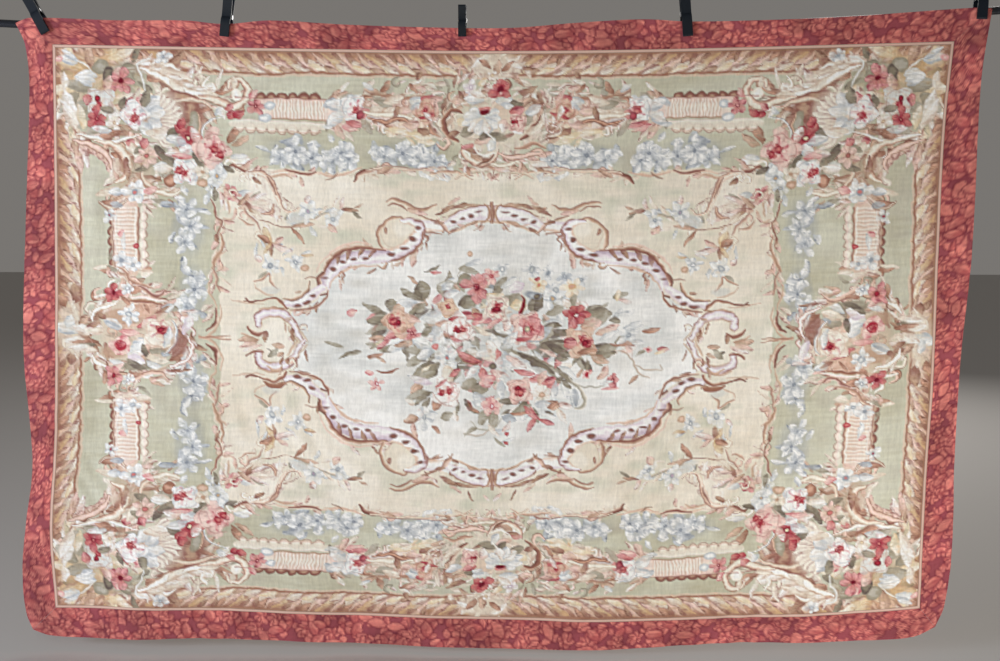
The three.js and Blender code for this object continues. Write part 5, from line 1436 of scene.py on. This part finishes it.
# Quarters, each on a grid that matches its neighbours. The back keeps one point in every STEP.
STEP = 4
margin = GAP + EDGING_WIDTH + GAP
half_i, half_j = PANEL_CELLS[0] // 2, PANEL_CELLS[1] // 2
share_s, share_t = np.meshgrid(*(np.linspace(0, 1, cells + 1) for cells in PANEL_CELLS))
panel_x, panel_z = inset(share_s, share_t, margin)
panel_flat = np.stack([flat_x, flat_z], -1)[PAD:-PAD, PAD:-PAD]
panel_dyed = dyed[PAD:-PAD, PAD:-PAD]
for name, rows, columns in (
    ("panel_top_left", slice(0, half_j + 1), slice(0, half_i + 1)),
    ("panel_top_right", slice(0, half_j + 1), slice(half_i, None)),
    ("panel_bottom_left", slice(half_j, None), slice(0, half_i + 1)),
    ("panel_bottom_right", slice(half_j, None), slice(half_i, None)),
):
    part = (rows, columns)
    x, z = panel_x[part], panel_z[part]
    piece = sheet_piece(name, x, z, PANEL_THICK, STEP, panel_dyed[part], panel_flat[part])
    piece.data.materials.append(weave_material)
    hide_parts("tapestry_panel")
    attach(piece, "root")

# Border and tape
# Four strips of printed cotton with mitred corners, sewn round the panel, and a narrow apricot tape that
# covers each seam. They hang with the panel, so each strip and tape follows the same folds.
print_material = cloth_material("print", 500, 500, 0.3, 0.9, 0.12)
edging_material = cloth_material("edging", 500, 700, 0.3, 0.92, 0.08)


def sample(x, z):
    """The dyed colour at flat places, blended from the four nearest points of the cartoon."""
    i = np.clip((x - across[0]) / CELL[0], 0, len(across) - 1.001)
    j = np.clip((down[0] - z) / CELL[1], 0, len(down) - 1.001)
    i0, j0 = i.astype(int), j.astype(int)
    u, v = (i - i0)[..., None], (j - j0)[..., None]
    upper = dyed[j0, i0] * (1 - u) + dyed[j0, i0 + 1] * u
    lower = dyed[j0 + 1, i0] * (1 - u) + dyed[j0 + 1, i0 + 1] * u
    return upper * (1 - v) + lower * v


# Sides: name, cells along it, share across and down at a share a along it, and its free edge
SIDES = [
    ("top", PANEL_CELLS[0], lambda a: a, lambda a: 0 * a, lambda s, t: top_edge(s)),
    ("right", PANEL_CELLS[1], lambda a: 0 * a + 1, lambda a: a, lambda s, t: down_edge(RIGHT_EDGE, t)),
    ("bottom", PANEL_CELLS[0], lambda a: 1 - a, lambda a: 0 * a + 1,
     lambda s, t: across_edge(BOTTOM_EDGE, s)),
    ("left", PANEL_CELLS[1], lambda a: 0 * a, lambda a: 1 - a, lambda s, t: down_edge(LEFT_EDGE, t)),
]
OUTWARD = {"top": (0, 1), "right": (1, 0), "bottom": (0, -1), "left": (-1, 0)}
BORDER_ROWS = 20
BORDER_FLAT = 92.0

for name, cells, side_s, side_t, free_edge in SIDES:
    run = FLAT_WIDTH if cells == PANEL_CELLS[0] else FLAT_DROP
    ends = np.linspace(GAP / run, 1 - GAP / run, cells + 1)
    a, v = np.meshgrid(ends, np.linspace(0, 1, BORDER_ROWS + 1))
    s, t = side_s(a), side_t(a)
    inner, outer = inside_panel(s, t), free_edge(s, t)
    x, z = (outer[k] + (inner[k] - outer[k]) * v for k in (0, 1))
    away = BORDER_FLAT * (1 - v)
    out_x, out_z = OUTWARD[name]
    # Seen flat, the strip's mitred ends reach past the panel's corner
    flat_u = (s - 0.5) * (FLAT_WIDTH + (2 * away if out_z else 0)) + out_x * away
    flat_v = (0.5 - t) * (FLAT_DROP + (2 * away if out_x else 0)) + out_z * away
    colours = sample(flat_u, flat_v)
    strip = sheet_piece(f"print_{name}", x, z, BORDER_THICK, STEP, colours, np.stack([flat_u, flat_v], -1))
    strip.data.materials.append(print_material)
    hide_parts(f"border_{name}")
    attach(strip, "root")

    a, v = np.meshgrid(ends, np.linspace(0, 1, 5))
    x, z = inset(side_s(a), side_t(a), GAP + EDGING_WIDTH * v)
    reach = GAP + EDGING_WIDTH * v
    flat_u = (side_s(a) - 0.5) * (FLAT_WIDTH - 2 * reach)
    flat_v = (0.5 - side_t(a)) * (FLAT_DROP - 2 * reach)
    colours = TONES["apricot"] * 0.5 + TONES["blush"] * 0.5
    # Painted shade: the tape's colour falls by up to a quarter towards both of its long edges
    colours = np.broadcast_to(colours * (1 - 0.25 * np.abs(2 * v - 1)[..., None] ** 2), x.shape + (3,))
    tape = sheet_piece(f"tape_{name}", x, z, EDGING_THICK, STEP, colours, np.stack([flat_u, flat_v], -1))
    tape.data.materials.append(edging_material)
    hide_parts(f"edging_{name}")
    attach(tape, "root")

# Crossbar and clamps
# A gloss black steel tube, and five black plastic spring clamps with rubber pads and a bright coil
# spring each. They are the frame's own nodes, which take a finish by the last word of their name.
def plain_material(name, colour, rough, metal=0.0, gloss=0.5):
    """A smooth material of one colour. gloss is the strength of its reflections."""
    material = bpy.data.materials.new(name)
    material.use_nodes = True
    shader = material.node_tree.nodes["Principled BSDF"]
    shader.inputs["Base Color"].default_value = (*colour, 1)
    shader.inputs["Roughness"].default_value = rough
    shader.inputs["Metallic"].default_value = metal
    shader.inputs["Specular IOR Level"].default_value = gloss
    return material


FINISHES = {
    "crossbar": plain_material("bar", (0.012, 0.014, 0.02), 0.22),
    "lever": plain_material("clamp", (0.008, 0.012, 0.018), 0.5, gloss=0.2),
    "pad": plain_material("pad", (0.008, 0.009, 0.01), 0.8, gloss=0.2),
    "spring": plain_material("spring", (0.7, 0.71, 0.73), 0.3, 1.0),
}
for name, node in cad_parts.items():
    for word, finish in FINISHES.items():
        if name.endswith(word):
            node.data.materials.clear()
            node.data.materials.append(finish)

# Floor and light
# A plain pale floor under the hem and five soft lamps: one rakes the cloth from the left, three weak ones
# stand in front, and one lights the back. The world is a dim warm grey.
mesh = bpy.data.meshes.new("floor")
mesh.from_pydata([(-12, -8, 0), (12, -8, 0), (12, 14, 0), (-12, 14, 0)], [], [(0, 1, 2, 3)])
floor = bpy.data.objects.new("floor", mesh)
floor.location.z = -1.825
floor.data.materials.append(plain_material("floor", (0.45, 0.43, 0.41), 0.7))
bpy.context.collection.objects.link(floor)

# Lamps: name, place, aim, size, power, colour
LIGHTS = [
    ("side", (-5.0, -2.8, -0.4), (-0.2, 0, -0.8), 1.6, 216, (0.78, 0.84, 1.0)),
    ("front", (-0.9, -3.6, -0.5), (-0.5, 0, -0.9), 1.2, 17.5, (1.0, 0.8, 0.42)),
    ("window", (-1.1, -1.7, -0.68), (-0.5, 0, -0.68), 0.8, 7.2, (0.86, 0.95, 1.0)),
    ("corner", (1.6, -1.6, -1.5), (1.2, 0, -1.6), 0.8, 17, (1.0, 1.0, 1.0)),
    ("back", (1.5, 4.5, 1.2), (0, 0, -0.9), 3.0, 110, (1.0, 0.98, 0.95)),
]
for name, place, aim, size, power, colour in LIGHTS:
    lamp = bpy.data.objects.new(name, bpy.data.lights.new(name, "AREA"))
    lamp.data.shape, lamp.data.size, lamp.data.energy, lamp.data.color = "SQUARE", size, power, colour
    lamp.visible_camera = False
    lamp.location = place
    away = np.array(place) - np.array(aim)
    lamp.rotation_euler = (np.arctan2(np.hypot(away[0], away[1]), away[2]), 0, np.arctan2(away[0], -away[1]))
    bpy.context.collection.objects.link(lamp)

world = bpy.data.worlds.new("room")
bpy.context.scene.world = world
world.use_nodes = True
world.node_tree.nodes["Background"].inputs["Color"].default_value = (0.95, 0.9, 0.84, 1)
world.node_tree.nodes["Background"].inputs["Strength"].default_value = 0.2
